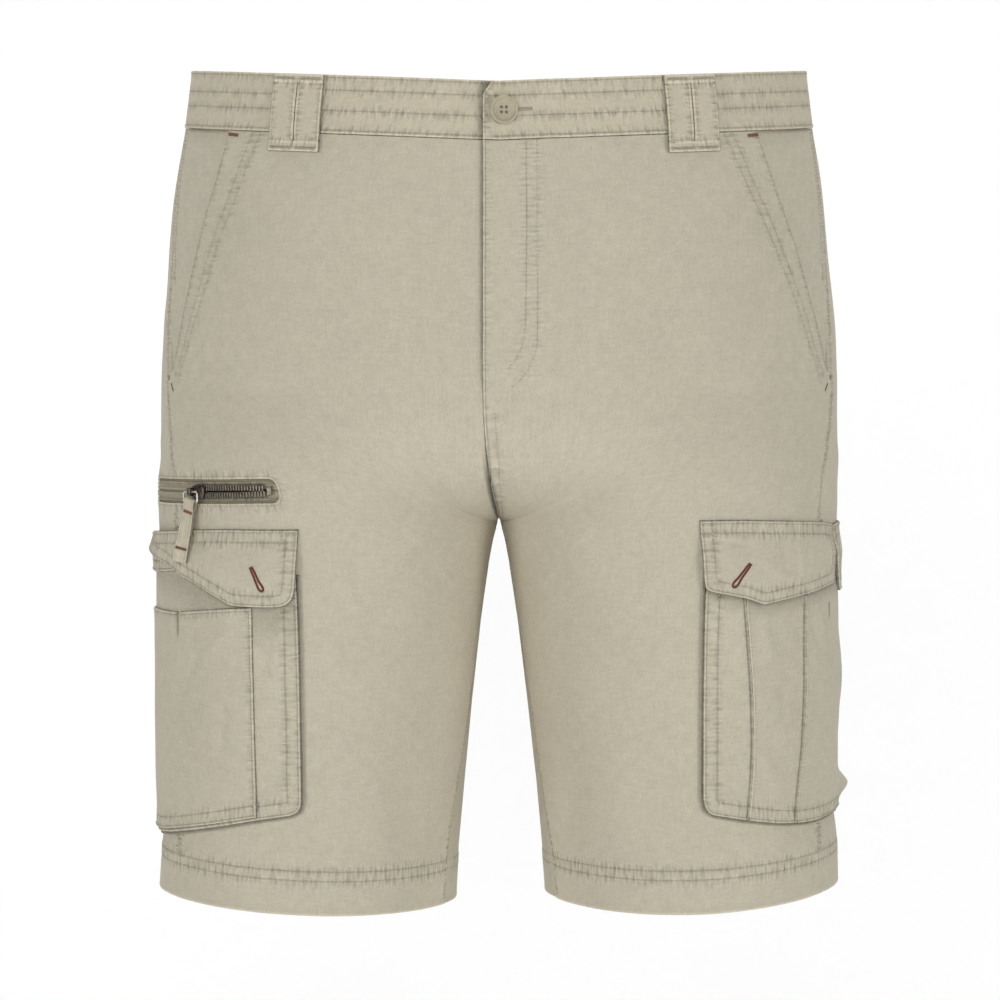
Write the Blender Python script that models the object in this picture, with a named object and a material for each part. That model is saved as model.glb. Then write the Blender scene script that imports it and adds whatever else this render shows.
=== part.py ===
"""Men's cargo shorts, filled out as they hang when worn, built piece by piece as a maker cuts them.

Row frame: metres, +Z up, -Y the front, +X the wearer's left. The origin is the middle of the waist, at half
the waistband's height. Every size below is in millimetres, and a mesh is made in metres.

All cloth lies on one surface, skin(), worked out from a table of sections. A "level" runs down the garment
like a height, and a "way" runs round one half of it: -1 the centre front or inner leg, 0 the outer side,
+1 the centre back or inner leg. "Forward" is the length of cloth forward of the side seam. A piece lies on
that surface, or is made from its points moved out, and neighbours keep SEAM between them.
"""

import math
from collections import namedtuple

import bmesh
import bpy
import numpy as np
from mathutils import Matrix, Vector

MM = 0.001
LEFT, RIGHT = 1, -1

# Cloth
CLOTH = 1.6
BAND_CLOTH = 2.6
HEM_CLOTH = 2.9
POCKET_CLOTH = 1.2
SEAM = 0.3
LAYER_GAP = 0.8

# Driving heights, from half the waistband's height
BAND_TOP = 19.0
BAND_FOOT = -19.0
RISE_START = -188.0
CROTCH = -280.0
HEM_LINE = -507.0
HEM_FOOT = -534.0
HEM_STEP = 2.5
FRONT_DIP = 9.5
BACK_DIP = 5.0
HEM_TILT = 3.0
HEM_SHAPE_START = -430.0
DIP_END = -150.0

# How each hem differs from a level one: raised as a whole, its outer side raised, its front sagging.
HemShape = namedtuple("HemShape", "lift tilt sag")
HEM_SHAPES = {LEFT: HemShape(3.3, 0.7, 4.0), RIGHT: HemShape(1.0, 1.0, 2.3)}

# Sections, top to bottom: how far each side reaches from the middle, how deep the front and the back are,
# and how far each inner leg stands off the middle.
Section = namedtuple("Section", "level side_left side_right front back inner_left inner_right")
SECTIONS = (
    Section(19.0, 204.2, 204.2, 140.0, 148.0, 0.2, 0.2),
    Section(-19.0, 209.0, 209.0, 143.5, 153.0, 0.2, 0.2),
    Section(-45.0, 213.6, 213.8, 145.5, 157.0, 0.2, 0.2),
    Section(-66.0, 216.6, 216.9, 147.0, 160.0, 0.2, 0.2),
    Section(-93.0, 219.3, 219.6, 148.0, 163.5, 0.2, 0.2),
    Section(-120.0, 221.6, 221.8, 148.5, 166.0, 0.2, 0.2),
    Section(-147.0, 224.6, 224.4, 148.0, 167.0, 0.2, 0.2),
    Section(-188.0, 226.5, 226.0, 145.0, 164.5, 0.2, 0.2),
    Section(-240.0, 226.6, 226.4, 136.0, 151.5, 0.2, 0.2),
    Section(-251.0, 226.6, 228.2, 134.8, 149.8, 0.2, 0.2),
    Section(-272.0, 226.8, 228.2, 131.8, 146.0, 0.3, 0.3),
    Section(-280.0, 226.6, 227.6, 130.0, 144.0, 0.3, 0.3),
    Section(-295.0, 225.4, 226.8, 127.0, 140.0, 4.2, 4.2),
    Section(-308.0, 223.8, 226.0, 125.0, 137.0, 6.6, 6.6),
    Section(-348.0, 223.4, 225.4, 118.0, 128.0, 12.6, 12.2),
    Section(-402.0, 223.6, 225.0, 110.0, 118.0, 19.2, 18.2),
    Section(-456.0, 223.8, 224.6, 103.0, 109.0, 25.2, 23.3),
    Section(-478.0, 224.4, 224.4, 101.0, 106.0, 27.0, 25.2),
    Section(-500.0, 227.0, 226.0, 98.6, 102.8, 28.8, 27.2),
    Section(-534.0, 228.2, 228.0, 96.0, 99.0, 31.2, 29.0),
)
SQUARENESS = 0.035
RISE_EDGE = 0.55
RISE_FULLNESS = 0.10
SEAM_WAY_TOP = -0.10
SEAM_WAY_FOOT = -0.175
SEAM_WAY_LEVEL = -190.0
INSEAM_TURN = 0.13
WAY_LENGTH = 290.0  # cloth in one unit of way, near enough to set a seam's gap
LEVEL_NUDGE = 1.5
WAY_NUDGE = 0.006
ROUND_REACH = 1.13
ROUND_STEPS = 181

# Soft folds that the cloth keeps: which half, where each starts and ends, how wide it is and how proud.
Fold = namedtuple("Fold", "half top foot top_way foot_way width proud")
FOLDS = (
    Fold(LEFT, -205.0, -345.0, -0.95, -0.62, 0.075, 2.4),
    Fold(RIGHT, -205.0, -335.0, -0.95, -0.60, 0.075, 2.2),
    Fold(LEFT, -330.0, -530.0, -0.72, -0.66, 0.080, 2.0),
    Fold(RIGHT, -350.0, -532.0, -0.56, -0.62, 0.085, 1.8),
    Fold(LEFT, -370.0, -530.0, -0.86, -0.84, 0.060, 1.8),
    Fold(RIGHT, -300.0, -500.0, -0.82, -0.86, 0.060, 2.0),
    Fold(LEFT, -225.0, -390.0, 0.88, 0.55, 0.090, 3.2),
    Fold(RIGHT, -225.0, -380.0, 0.88, 0.52, 0.090, 3.4),
    Fold(LEFT, -260.0, -500.0, 0.70, 0.76, 0.070, 2.6),
    Fold(RIGHT, -270.0, -490.0, 0.73, 0.79, 0.070, 2.4),
)
FOLD_END = 0.93


def blend(low, high, value):
    """0 at low, 1 at high, smooth between."""
    share = min(1.0, max(0.0, (value - low) / (high - low)))
    return share * share * (3 - 2 * share)


def read_table(rows, value):
    """A table's other columns at a value of its first, on straight lines between the rows."""
    key = [row[0] for row in rows]
    order = 1 if key[-1] > key[0] else -1
    key = [order * k for k in key]
    return [float(np.interp(order * value, key, column)) for column in list(zip(*rows))[1:]]


def section(half, level):
    """One half's section at a level: side, front, back, inner."""
    side_left, side_right, front, back, inner_left, inner_right = read_table(SECTIONS, level)
    return (side_left, front, back, inner_left) if half == LEFT else (side_right, front, back, inner_right)


def leg_share(level):
    """0 where the section is one trunk, 1 where it is two legs."""
    return blend(RISE_START, CROTCH, level)


def height_at(level, way):
    """The height of a level: lower at the centre seam, which curves round under the crotch."""
    if not CROTCH < level < RISE_START:
        return level
    fall = RISE_START - CROTCH
    curved = RISE_START - fall * math.sqrt(1 - (1 - leg_share(level)) ** 2)
    return level + (curved - level) * blend(RISE_EDGE, 1.0, abs(way))


def fold_height(half, level, way):
    """How far the soft folds lift the cloth here."""
    lift = 0.0
    for fold in FOLDS:
        along = (fold.top - level) / (fold.top - fold.foot)
        if fold.half != half or not 0 < along < 1:
            continue
        centre = fold.top_way + (fold.foot_way - fold.top_way) * along
        across = (way - centre) / fold.width
        lift += fold.proud * math.sin(math.pi * along) ** 2 * math.exp(-across * across)
    return lift * blend(1.0, FOLD_END, abs(way))


def plain_point(half, level, way):
    """A point of the cloth without its folds, on the wearer's left or right half."""
    share = leg_share(level)
    if level > CROTCH and abs(way) > 1:  # past the centre seam the trunk goes on as its other half
        half, way = -half, math.copysign(2, way) - way
    side, front, back, inner = section(half, level)
    trunk_turn, leg_turn = way * math.pi / 2, way * math.pi
    trunk_full = 1 + SQUARENESS * math.sin(2 * trunk_turn) ** 2
    leg_full = 1 + SQUARENESS / 2 * math.sin(2 * leg_turn) ** 2
    reach, middle = (side - inner) / 2, (side + inner) / 2
    trunk = Vector((inner + (side - inner) * math.cos(trunk_turn), math.sin(trunk_turn))) * trunk_full
    leg = Vector((middle + reach * math.cos(leg_turn) * leg_full, math.sin(leg_turn) * leg_full))
    trunk.y *= front if trunk.y < 0 else back
    leg.y *= front if leg.y < 0 else back
    across = trunk.lerp(leg, share)
    across.y *= 1 + RISE_FULLNESS * math.sin(math.pi * share**0.75)
    dip = FRONT_DIP if way < 0 else BACK_DIP
    height = height_at(level, way) - dip * abs(way) ** 1.5 * blend(DIP_END, BAND_FOOT, level)
    height += HEM_TILT * math.cos(leg_turn) * blend(CROTCH, HEM_FOOT, level)
    hem = HEM_SHAPES[half]
    sag = 1 - math.sin(leg_turn) ** 2 * (2 if leg_turn < 0 else 1)
    shape = hem.lift + hem.tilt * math.cos(leg_turn) + hem.sag * sag
    height += shape * blend(HEM_SHAPE_START, HEM_FOOT, level)
    return Vector((half * across.x, across.y, height))


def out_of(half, level, way):
    """The way out of the cloth at a point."""
    down = plain_point(half, level - LEVEL_NUDGE, way) - plain_point(half, level + LEVEL_NUDGE, way)
    backward = plain_point(half, level, way + WAY_NUDGE) - plain_point(half, level, way - WAY_NUDGE)
    return backward.cross(down).normalized() * half * -1


def skin(half, level, way, out=0.0):
    """A point of the cloth's outer face, moved out by a distance."""
    lift = fold_height(half, level, way) + out
    return plain_point(half, level, way) + out_of(half, level, way) * lift


def seam_way(level):
    """The way of the side seam at a level: it swings forward from the waist to the leg."""
    return SEAM_WAY_TOP + (SEAM_WAY_FOOT - SEAM_WAY_TOP) * blend(BAND_FOOT, SEAM_WAY_LEVEL, level)


_round_tables = {}


def round_table(half, level):
    """Ways, and the cloth's length from each forward to the side seam, round one level."""
    key = (half, round(level, 3))
    if key not in _round_tables:
        ways = np.linspace(-ROUND_REACH, ROUND_REACH, ROUND_STEPS)
        points = np.array([plain_point(half, level, way) for way in ways])
        steps = np.linalg.norm(np.diff(points, axis=0), axis=1)
        lengths = np.concatenate([[0.0], np.cumsum(steps)])
        _round_tables[key] = (ways, np.interp(seam_way(level), ways, lengths) - lengths)
    return _round_tables[key]


def way_at(half, level, forward):
    """The way at a length of cloth forward of the side seam; behind it the length is negative."""
    ways, lengths = round_table(half, level)
    return float(np.interp(-forward, -lengths, ways))


def forward_at(half, level, way):
    """The length of cloth from the side seam forward to a way."""
    ways, lengths = round_table(half, level)
    return float(np.interp(way, ways, lengths))


def on_leg(half, level, forward, out=0.0):
    """A point over the cloth, by its length forward of the side seam."""
    return skin(half, level, way_at(half, level, forward), out)


def way_of_x(level, x):
    """The way at a distance across the front of the trunk, from the middle toward this half's side."""
    side = section(LEFT, level)[0]
    return -math.acos(x / side) * 2 / math.pi


# The waistband's ends and the fly: the wearer's left laps over the right.
LAP_END = -10.3
LAP_CORNER = 5.0
UNDERLAP_END = 14.0
BAND_CELLS = 26
FLY_UNDER = -6.0
FLY_LIFT_END = -192.0
FLY_FOOT = -178.0
LAP_FLAT = 26.0
LAP_EASE = 52.0
BAND_OUT = 0.6
BAND_LAP_LIFT = BAND_CLOTH + 0.4
FLY_LIFT = CLOTH + 0.5

# Slanted pocket openings: how far forward of the side seam the edge lies, on the wearer's left and right.
Slant = namedtuple("Slant", "level left right")
SLANTS = (
    Slant(-19.0, 82.0, 72.0),
    Slant(-58.0, 71.0, 62.0),
    Slant(-99.0, 50.0, 44.5),
    Slant(-139.0, 29.0, 28.0),
    Slant(-178.0, 10.0, 10.0),
)
SLANT_FOOT = -178.0
BEARER_FOOT = -190.0
BEARER_UNDER = 14.0
BEARER_DROP = CLOTH + 0.8
BEARER_CELLS = 8
BEARER_SINK = 0.7  # share of the way from the side seam to the opening where the piece is fully below
BEARER_TUCK = (-140.0, -172.0)  # and the levels between which all of it goes below

# Zip on the wearer's right thigh: a window cut in the cloth, with the tape sewn behind it.
ZIP_HEIGHT = -254.6
ZIP_WINDOW = 16.8
ZIP_FRONT = 100.0
ZIP_BACK = -62.0
ZIP_FALL = -6.0
ZIP_END = -200.0  # forward of the side seam, where the panel's rows are level again
TAPE_OVERLAP = 5.0
TAPE_CLOTH = 1.0
TAPE_OUT = -2.4
CHAIN_WIDTH = 8.0
CHAIN_OUT = -0.6
CHAIN_THICK = 1.5
CHAIN_MARGIN = 3.0
SLIDER_FORWARD = 37.0
SLIDER_LENGTH = 13.0
SLIDER_MOUTH = 10.0
SLIDER_NOSE = 7.0
SLIDER_NOSE_CUT = 1.2
SLIDER_MOUTH_CUT = 2.0
SLIDER_FLOOR = -0.2
SLIDER_TOP = 2.2
BRIDGE_OFFSET = -5.0
BRIDGE_LENGTH = 3.0
BRIDGE_SPAN = 5.4
BRIDGE_RISE = 3.4
BRIDGE_WALL = 0.9
BRIDGE_CUT = 0.5
BRIDGE_SINK = 0.4

# The pull: a wire ring through the slider's bridge, and a folded cloth tab round the ring's foot
PULL_HEIGHT = 1.2
RING_WIRE = 1.2
RING_WIDTH = 15.0
RING_DROP = 7.0
RING_CORNER = 1.5
RING_CORNER_STEPS = 4
RING_SIDES = 8
TAB_WIDTH = 10.4
TAB_LENGTH = 40.0
TAB_CLOTH = 0.8
TAB_LAYER_GAP = 0.3
TAB_EYE = 1.0
TAB_EYE_TOP = 0.9
TAB_EYE_FOOT = 2.4
TAB_EYE_TAPER = 3.0
TAB_EYE_STEPS = 8
TAB_LEAN = -12.0
TAB_END_FORWARD = 22.0
TAB_END_HEIGHT = -303.5
TAB_END_OUT = 8.8

# Rows of the big panels, top to bottom. WINDOW rows are the edges of the zip's window.
PANEL_LEVELS = (
    BAND_FOOT - SEAM / 2, -40.0, -62.0, -85.0, -108.0, -131.0, -154.0, -170.0,
    SLANT_FOOT, -183.0, BEARER_FOOT, -199.0, -210.0, -222.0, -234.0,
    "window top", "window foot", -272.0, CROTCH, -290.0, -304.0, -324.0, -348.0,
    -374.0, -402.0, -430.0, -456.0, -482.0, HEM_LINE, HEM_LINE - HEM_STEP, HEM_FOOT,
)
SIDE_CELLS = 5
INNER_CELLS = 8
BACK_SIDE_CELLS = 3
BACK_INNER_CELLS = 10

# Flaps and pockets, from front to back: forward of the side seam, height of the top and of the foot.
Column = namedtuple("Column", "forward top foot")
FLAP_RIGHT = (
    Column(106.5, -279.3, -318.0),
    Column(104.5, -279.4, -324.0),
    Column(99.5, -279.5, -328.4),
    Column(91.0, -279.7, -330.0),
    Column(76.0, -280.0, -330.2),
    Column(61.0, -280.3, -329.4),
    Column(49.5, -280.7, -324.6),
    Column(34.0, -281.5, -318.5),
    Column(18.0, -282.5, -312.4),
    Column(-2.0, -284.0, -305.7),
    Column(-25.0, -285.5, -302.6),
    Column(-50.0, -287.0, -300.4),
    Column(-66.0, -288.0, -299.0),
)
FLAP_RIGHT_BACK = (
    Column(14.0, -284.0, -308.5),
    Column(6.0, -284.4, -310.0),
    Column(-8.0, -285.2, -311.4),
    Column(-26.0, -286.2, -313.0),
    Column(-44.0, -287.2, -314.0),
    Column(-62.0, -288.0, -314.4),
    Column(-80.0, -288.6, -314.0),
    Column(-94.0, -289.0, -311.0),
)
FLAP_LEFT = (
    Column(108.5, -274.0, -316.0),
    Column(105.0, -274.0, -319.0),
    Column(90.0, -274.0, -321.8),
    Column(75.0, -274.2, -324.8),
    Column(62.0, -274.6, -328.7),
    Column(50.0, -275.0, -327.5),
    Column(37.0, -275.6, -325.9),
    Column(18.0, -276.8, -323.8),
    Column(-2.0, -278.2, -321.6),
    Column(-14.0, -279.6, -320.6),
    Column(-23.0, -280.8, -319.8),
)
FLAP_LEFT_BACK = (
    Column(-25.0, -281.2, -293.0),
    Column(-32.0, -281.0, -309.0),
    Column(-42.0, -280.8, -325.4),
    Column(-58.0, -281.2, -327.2),
    Column(-78.0, -281.8, -326.0),
    Column(-94.0, -282.4, -322.0),
)
POCKET_RIGHT = (
    Column(105.0, -309.0, -462.0),
    Column(103.0, -309.0, -467.5),
    Column(97.5, -309.0, -470.5),
    Column(86.0, -309.0, -472.4),
    Column(72.0, -309.0, -474.4),
    Column(52.0, -309.2, -478.0),
    Column(32.0, -310.5, -480.6),
    Column(14.0, -312.6, -482.8),
    Column(-4.0, -314.5, -484.8),
    Column(-22.0, -316.4, -486.6),
    Column(-40.0, -317.4, -488.0),
    Column(-58.0, -318.0, -488.4),
    Column(-76.0, -318.0, -487.8),
    Column(-88.0, -318.0, -485.6),
    Column(-95.0, -318.0, -480.0),
    Column(-97.0, -318.0, -472.0),
)
POCKET_LEFT = (
    Column(103.0, -306.0, -456.0),
    Column(101.5, -306.0, -463.0),
    Column(97.0, -306.0, -467.6),
    Column(86.0, -306.2, -470.0),
    Column(72.0, -306.5, -472.4),
    Column(58.0, -307.0, -474.4),
    Column(43.0, -307.4, -476.3),
    Column(24.0, -308.0, -477.6),
    Column(6.0, -308.6, -478.6),
    Column(-12.0, -309.2, -479.2),
    Column(-30.0, -309.8, -480.0),
    Column(-48.0, -310.4, -480.4),
    Column(-66.0, -311.0, -480.2),
    Column(-82.0, -311.4, -479.0),
    Column(-92.0, -311.6, -475.0),
    Column(-95.0, -311.6, -467.0),
)
PHONE_RIGHT = (
    Column(71.5, -330.6, -470.9),
    Column(58.0, -331.6, -473.4),
    Column(40.0, -333.6, -476.2),
    Column(22.0, -335.6, -478.6),
    Column(8.0, -337.0, -480.2),
    Column(-8.0, -337.6, -482.2),
    Column(-24.0, -338.0, -483.6),
    Column(-40.0, -338.6, -484.6),
    Column(-58.0, -339.2, -485.0),
    Column(-74.0, -339.6, -484.2),
    Column(-86.0, -339.8, -481.6),
)
FLAP_LEAN = 0.045
POCKET_LEAN = 0.035
FLAP_ROWS = 5
POCKET_ROWS = 11
GUSSET_ROWS = 7
GUSSET_OUTSIDE = 3.2
GUSSET_INSIDE = 9.0
GUSSET_CLOTH = 1.1
POCKET_OUT = LAYER_GAP + GUSSET_CLOTH + 0.5
POCKET_BULGE = 1.6
PHONE_OUT = POCKET_OUT + POCKET_CLOTH + 0.5
FLAP_FOOT_OUT = POCKET_OUT + 2 * POCKET_CLOTH + 1.3
FLAP_OVER = -303.0
RIGHT_BACK_FLAP_OUT = 5.9
BACK_FLAP_LIFT = 2.4
BACK_FLAP_LIFT_FRONT = 30.0
BACK_FLAP_LIFT_BACK = 15.0
KICK_FORWARD = -54.0
KICK_HEIGHT = -462.0
KICK_OUT = 7.0
KICK_WIDTH = 20.0
KICK_DEPTH = 8.0
KICK_UNDER = 0.8  # share of it that the strip under the pocket takes

# Belt loops, in pairs of strips side by side: name, half, way of the pair's middle.
LoopPair = namedtuple("LoopPair", "name half middle_way")
LOOP_PAIRS = (
    LoopPair("right_front", RIGHT, -0.585),
    LoopPair("left_front", LEFT, -0.608),
    LoopPair("right_back", RIGHT, 0.46),
    LoopPair("left_back", LEFT, 0.46),
    LoopPair("centre_back", LEFT, 1.0),
)
LOOP_WIDTH = 18.0
LOOP_SLIT = 0.8
LOOP_CLOTH = 1.4
LOOP_ROWS = ((18.5, 1.3), (12.0, 2.1), (0.0, 2.8), (-14.0, 2.8), (-24.0, 1.8), (-31.5, 0.8))

# Waist button
BUTTON_X = 2.6
BUTTON_ACROSS = 19.0
BUTTON_THICK = 3.0
BUTTON_RIM = 2.6
BUTTON_DISH = 0.7
BUTTON_GAP = 0.4
BUTTON_SIDES = 32
BUTTON_HOLE = 1.8
BUTTON_HOLE_SPACING = 3.2
BUTTON_HOLE_SIDES = 10
BUTTON_DRILL_OVER = 1.0


def canvas(name, colour, roughness):
    """A cloth or plastic look."""
    return {"name": name, "colour": colour, "roughness": roughness, "metallic": 0.0}


CANVAS = canvas("stone_canvas", (0.49, 0.45, 0.36), 0.92)
CANVAS_SHADE = canvas("stone_canvas_band", (0.45, 0.41, 0.33), 0.92)
TAPE = canvas("zip_tape", (0.40, 0.37, 0.30), 0.88)
TAB = canvas("pull_tape", (0.55, 0.50, 0.41), 0.9)
HORN = canvas("button_plastic", (0.47, 0.43, 0.34), 0.45)
METAL = {"name": "gunmetal", "colour": (0.07, 0.065, 0.06), "roughness": 0.35, "metallic": 1.0}


def material(look):
    """The Principled material of one look, made once."""
    made = bpy.data.materials.get(look["name"])
    if made:
        return made
    made = bpy.data.materials.new(look["name"])
    made.use_nodes = True
    shader = made.node_tree.nodes["Principled BSDF"]
    shader.inputs["Base Color"].default_value = (*look["colour"], 1.0)
    shader.inputs["Roughness"].default_value = look["roughness"]
    shader.inputs["Metallic"].default_value = look["metallic"]
    return made


def add_object(name, points, faces, look):
    """One named object from points in millimetres, its faces turned outward."""
    mesh = bpy.data.meshes.new(name)
    mesh.from_pydata([tuple(Vector(point) * MM) for point in points], [], faces)
    work = bmesh.new()
    work.from_mesh(mesh)
    bmesh.ops.recalc_face_normals(work, faces=work.faces)
    work.to_mesh(mesh)
    work.free()
    mesh.materials.append(material(look))
    piece = bpy.data.objects.new(name, mesh)
    bpy.context.scene.collection.objects.link(piece)
    return piece


def wall(name, outer, inner, look, missing=()):
    """A closed wall between two grids of points. Cells in missing are left open, edges and all."""
    rows, columns = len(outer), len(outer[0])
    cells = [(i, j) for i in range(rows - 1) for j in range(columns - 1) if (i, j) not in missing]
    used = sorted({(i + a, j + b) for i, j in cells for a in (0, 1) for b in (0, 1)})
    number = {place: k for k, place in enumerate(used)}
    points = [outer[i][j] for i, j in used] + [inner[i][j] for i, j in used]
    faces = []
    edges = {}
    for i, j in cells:
        ring = [number[i, j], number[i + 1, j], number[i + 1, j + 1], number[i, j + 1]]
        faces.append(tuple(ring))
        faces.append(tuple(k + len(used) for k in reversed(ring)))
        for start, end in zip(ring, ring[1:] + ring[:1]):
            edges[start, end] = (end, start) in edges
            if edges[start, end]:
                edges[end, start] = True
    for (start, end), shared in edges.items():
        if not shared:
            faces.append((end, start, start + len(used), end + len(used)))
    return add_object(name, points, faces, look)


def cloth(name, half, grid, look, out=0.0, thick=CLOTH, missing=()):
    """A wall on the skin. grid holds rows of (level, way); out and thick are numbers or grids of them."""
    def entry(value, i, j):
        return value if isinstance(value, float) else value[i][j]

    outer, inner = [], []
    for i, row in enumerate(grid):
        outer.append([skin(half, level, way, entry(out, i, j)) for j, (level, way) in enumerate(row)])
        depths = [entry(out, i, j) - entry(thick, i, j) for j in range(len(row))]
        inner.append([skin(half, level, way, depth) for (level, way), depth in zip(row, depths)])
    return wall(name, outer, inner, look, missing)


def lap_share(half, level, way):
    """1 where the wearer's left laps over the right at the centre front, easing to 0 round the front."""
    if half == RIGHT or way > 0:
        return 0.0
    across = LEFT * plain_point(LEFT, level, way).x
    return blend(LAP_EASE, LAP_FLAT, across)


def build_waistband(half):
    """One half of the band. The left one's front end laps over the right one, with its top corner cut."""
    name = "waistband_left" if half == LEFT else "waistband_right"
    grid, out = [], []
    for level in (BAND_TOP, 8.0, -6.0, BAND_FOOT + SEAM / 2):
        if half == LEFT:
            end_x = LAP_END + (LAP_CORNER if level == BAND_TOP else 0.0)
        else:
            end_x = -UNDERLAP_END
        start = way_of_x(level, end_x)
        stop = 1 - SEAM / 2 / WAY_LENGTH
        row = [(level, start + (stop - start) * j / BAND_CELLS) for j in range(BAND_CELLS + 1)]
        grid.append(row)
        out.append([BAND_OUT + BAND_LAP_LIFT * lap_share(half, *spot) for spot in row])
    cloth(name, half, grid, CANVAS_SHADE, out, BAND_CLOTH)


def slant_edge(half, level):
    """How far forward of the side seam a pocket's opening lies: the side seam itself below it."""
    if level < SLANT_FOOT - 1:
        return SEAM / 2
    left, right = read_table(SLANTS, level)
    return left if half == LEFT else right


def window_share(forward):
    """How much of the zip's fall toward the back has been reached here."""
    return float(np.interp(forward, (ZIP_END, ZIP_BACK, ZIP_FRONT), (0.0, 1.0, 0.0)))


def row_level(half, entry, forward):
    """The level of a panel row at a place; the window's rows fall toward the back on the wearer's right."""
    if not isinstance(entry, str):
        return entry
    sign = 1 if entry == "window top" else -1
    height = ZIP_HEIGHT + sign * ZIP_WINDOW / 2
    if half == RIGHT:
        height += ZIP_FALL * window_share(forward)
    return height


def front_inner_way(half, level):
    """Where a front panel ends: under or over the fly, along the crotch seam, then along the inseam."""
    if level <= CROTCH:
        return -1 + INSEAM_TURN * blend(CROTCH, HEM_FOOT, level) + SEAM / 2 / WAY_LENGTH
    side = section(LEFT, level)[0]
    past = -LAP_END * (1 - blend(RISE_START, CROTCH + 5, level)) / side * 2 / math.pi
    if half == LEFT:
        return -1 - past
    if level > FLY_FOOT:
        past = -FLY_UNDER / side * 2 / math.pi
    return -1 + past + SEAM / side


def back_inner_way(level):
    """Where a back panel ends: the seat seam, then the inseam."""
    if level > CROTCH:
        return 1 - SEAM / 2 / WAY_LENGTH
    return 1 + INSEAM_TURN * blend(CROTCH, HEM_FOOT, level) - SEAM / 2 / WAY_LENGTH


def wall_thickness(level):
    """The wall is thicker over the folded hem."""
    return HEM_CLOTH if level < HEM_LINE - 1 else CLOTH


def build_front(half):
    """A front panel, from the slanted pocket opening and the side seam to the fly and the inseam."""
    grid, out, thick = [], [], []
    for entry in PANEL_LEVELS:
        row = []
        plain = row_level(half, entry, ZIP_FRONT)
        edge = slant_edge(half, plain)
        for j in range(SIDE_CELLS + 1):
            forward = edge + (ZIP_FRONT - edge) * j / SIDE_CELLS
            level = row_level(half, entry, forward)
            row.append((level, way_at(half, level, forward)))
        start, stop = row[-1][1], front_inner_way(half, plain)
        row += [(plain, start + (stop - start) * j / INNER_CELLS) for j in range(1, INNER_CELLS + 1)]
        grid.append(row)
        fly_share = blend(FLY_LIFT_END, FLY_FOOT, plain)
        out.append([FLY_LIFT * fly_share * lap_share(half, *spot) if fly_share else 0.0 for spot in row])
        thick.append([wall_thickness(plain)] * len(row))
    missing = []
    if half == RIGHT:
        window = PANEL_LEVELS.index("window top")
        missing = [(window, j) for j in range(SIDE_CELLS)]
    name = "front_left" if half == LEFT else "front_right"
    cloth(name, half, grid, CANVAS, out, thick, missing)


def build_back(half):
    """A back panel, from the side seam to the seat seam and the inseam."""
    grid, thick = [], []
    for entry in PANEL_LEVELS:
        row = []
        for j in range(BACK_SIDE_CELLS + 1):
            forward = -SEAM / 2 + (ZIP_BACK + SEAM / 2) * j / BACK_SIDE_CELLS
            level = row_level(half, entry, forward)
            row.append((level, way_at(half, level, forward)))
        start = row[-1][1]
        far = row_level(half, entry, ZIP_END)
        stop = back_inner_way(far)
        for j in range(1, BACK_INNER_CELLS + 1):
            level = row[BACK_SIDE_CELLS][0] + (far - row[BACK_SIDE_CELLS][0]) * j / BACK_INNER_CELLS
            row.append((level, start + (stop - start) * j / BACK_INNER_CELLS))
        grid.append(row)
        thick.append([wall_thickness(far)] * len(row))
    missing = []
    if half == RIGHT:
        window = PANEL_LEVELS.index("window top")
        missing = [(window, j) for j in range(BACK_SIDE_CELLS)]
    name = "back_left" if half == LEFT else "back_right"
    cloth(name, half, grid, CANVAS, 0.0, thick, missing)


def build_hip(half):
    """The piece that shows behind a slanted pocket opening, sewn into the side seam and the band."""
    levels = list(PANEL_LEVELS[:PANEL_LEVELS.index(BEARER_FOOT) + 1])
    grid, out = [], []
    for level in levels:
        edge = slant_edge(half, max(level, SLANT_FOOT))
        far = edge + BEARER_UNDER
        forwards = [SEAM / 2 + (far - SEAM / 2) * j / BEARER_CELLS for j in range(BEARER_CELLS + 1)]
        grid.append([(level, way_at(half, level, forward)) for forward in forwards])
        tuck = blend(*BEARER_TUCK, level)
        sunk = [max(tuck, blend(0.0, BEARER_SINK * edge, forward)) for forward in forwards]
        out.append([-BEARER_DROP * share for share in sunk])
    cloth("hip_left" if half == LEFT else "hip_right", half, grid, CANVAS, out, CLOTH)


def build_loops():
    """Belt loops: strips in pairs, sewn at the band's top edge and under the band, standing off between."""
    for name, half, middle in LOOP_PAIRS:
        for label, sign in (("a", 1), ("b", -1)):
            near, far = sign * LOOP_SLIT / 2, sign * (LOOP_SLIT / 2 + LOOP_WIDTH)
            grid = []
            for level, _ in LOOP_ROWS:
                centre = forward_at(half, level, middle)
                places = (centre + near, centre + (near + far) / 2, centre + far)
                grid.append([(level, way_at(half, level, place)) for place in places])
            out = [[stand + LOOP_CLOTH] * 3 for _, stand in LOOP_ROWS]
            cloth(f"belt_loop_{name}_{label}", half, grid, CANVAS_SHADE, out, LOOP_CLOTH)


def fitted(rows, steps, lean=0.0):
    """A piece's grid of (level, forward, share down) from its table, its front edge leaning as it falls."""
    grid = []
    for i in range(steps + 1):
        down = i / steps
        row = []
        for forward, top, foot in rows:
            row.append((top + (foot - top) * down, forward * (1 - lean * down), down))
        grid.append(row)
    return grid


def build_flap(name, half, rows, foot_out, lean=0.0, lifted=lambda forward: 0.0):
    """A flap: close to the leg at its top, its foot standing off by foot_out, lifted over what lies below."""
    grid = fitted(rows, FLAP_ROWS, lean)
    near = LAYER_GAP + POCKET_CLOTH
    out = []
    for row in grid:
        out.append([
            near + (foot_out - near) * blend(top - 2.0, FLAP_OVER, level) + lifted(forward)
            for (level, forward, _), (_, top, _) in zip(row, rows)
        ])
    spots = [[(level, way_at(half, level, forward)) for level, forward, _ in row] for row in grid]
    cloth(name, half, spots, CANVAS, out, POCKET_CLOTH)


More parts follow.
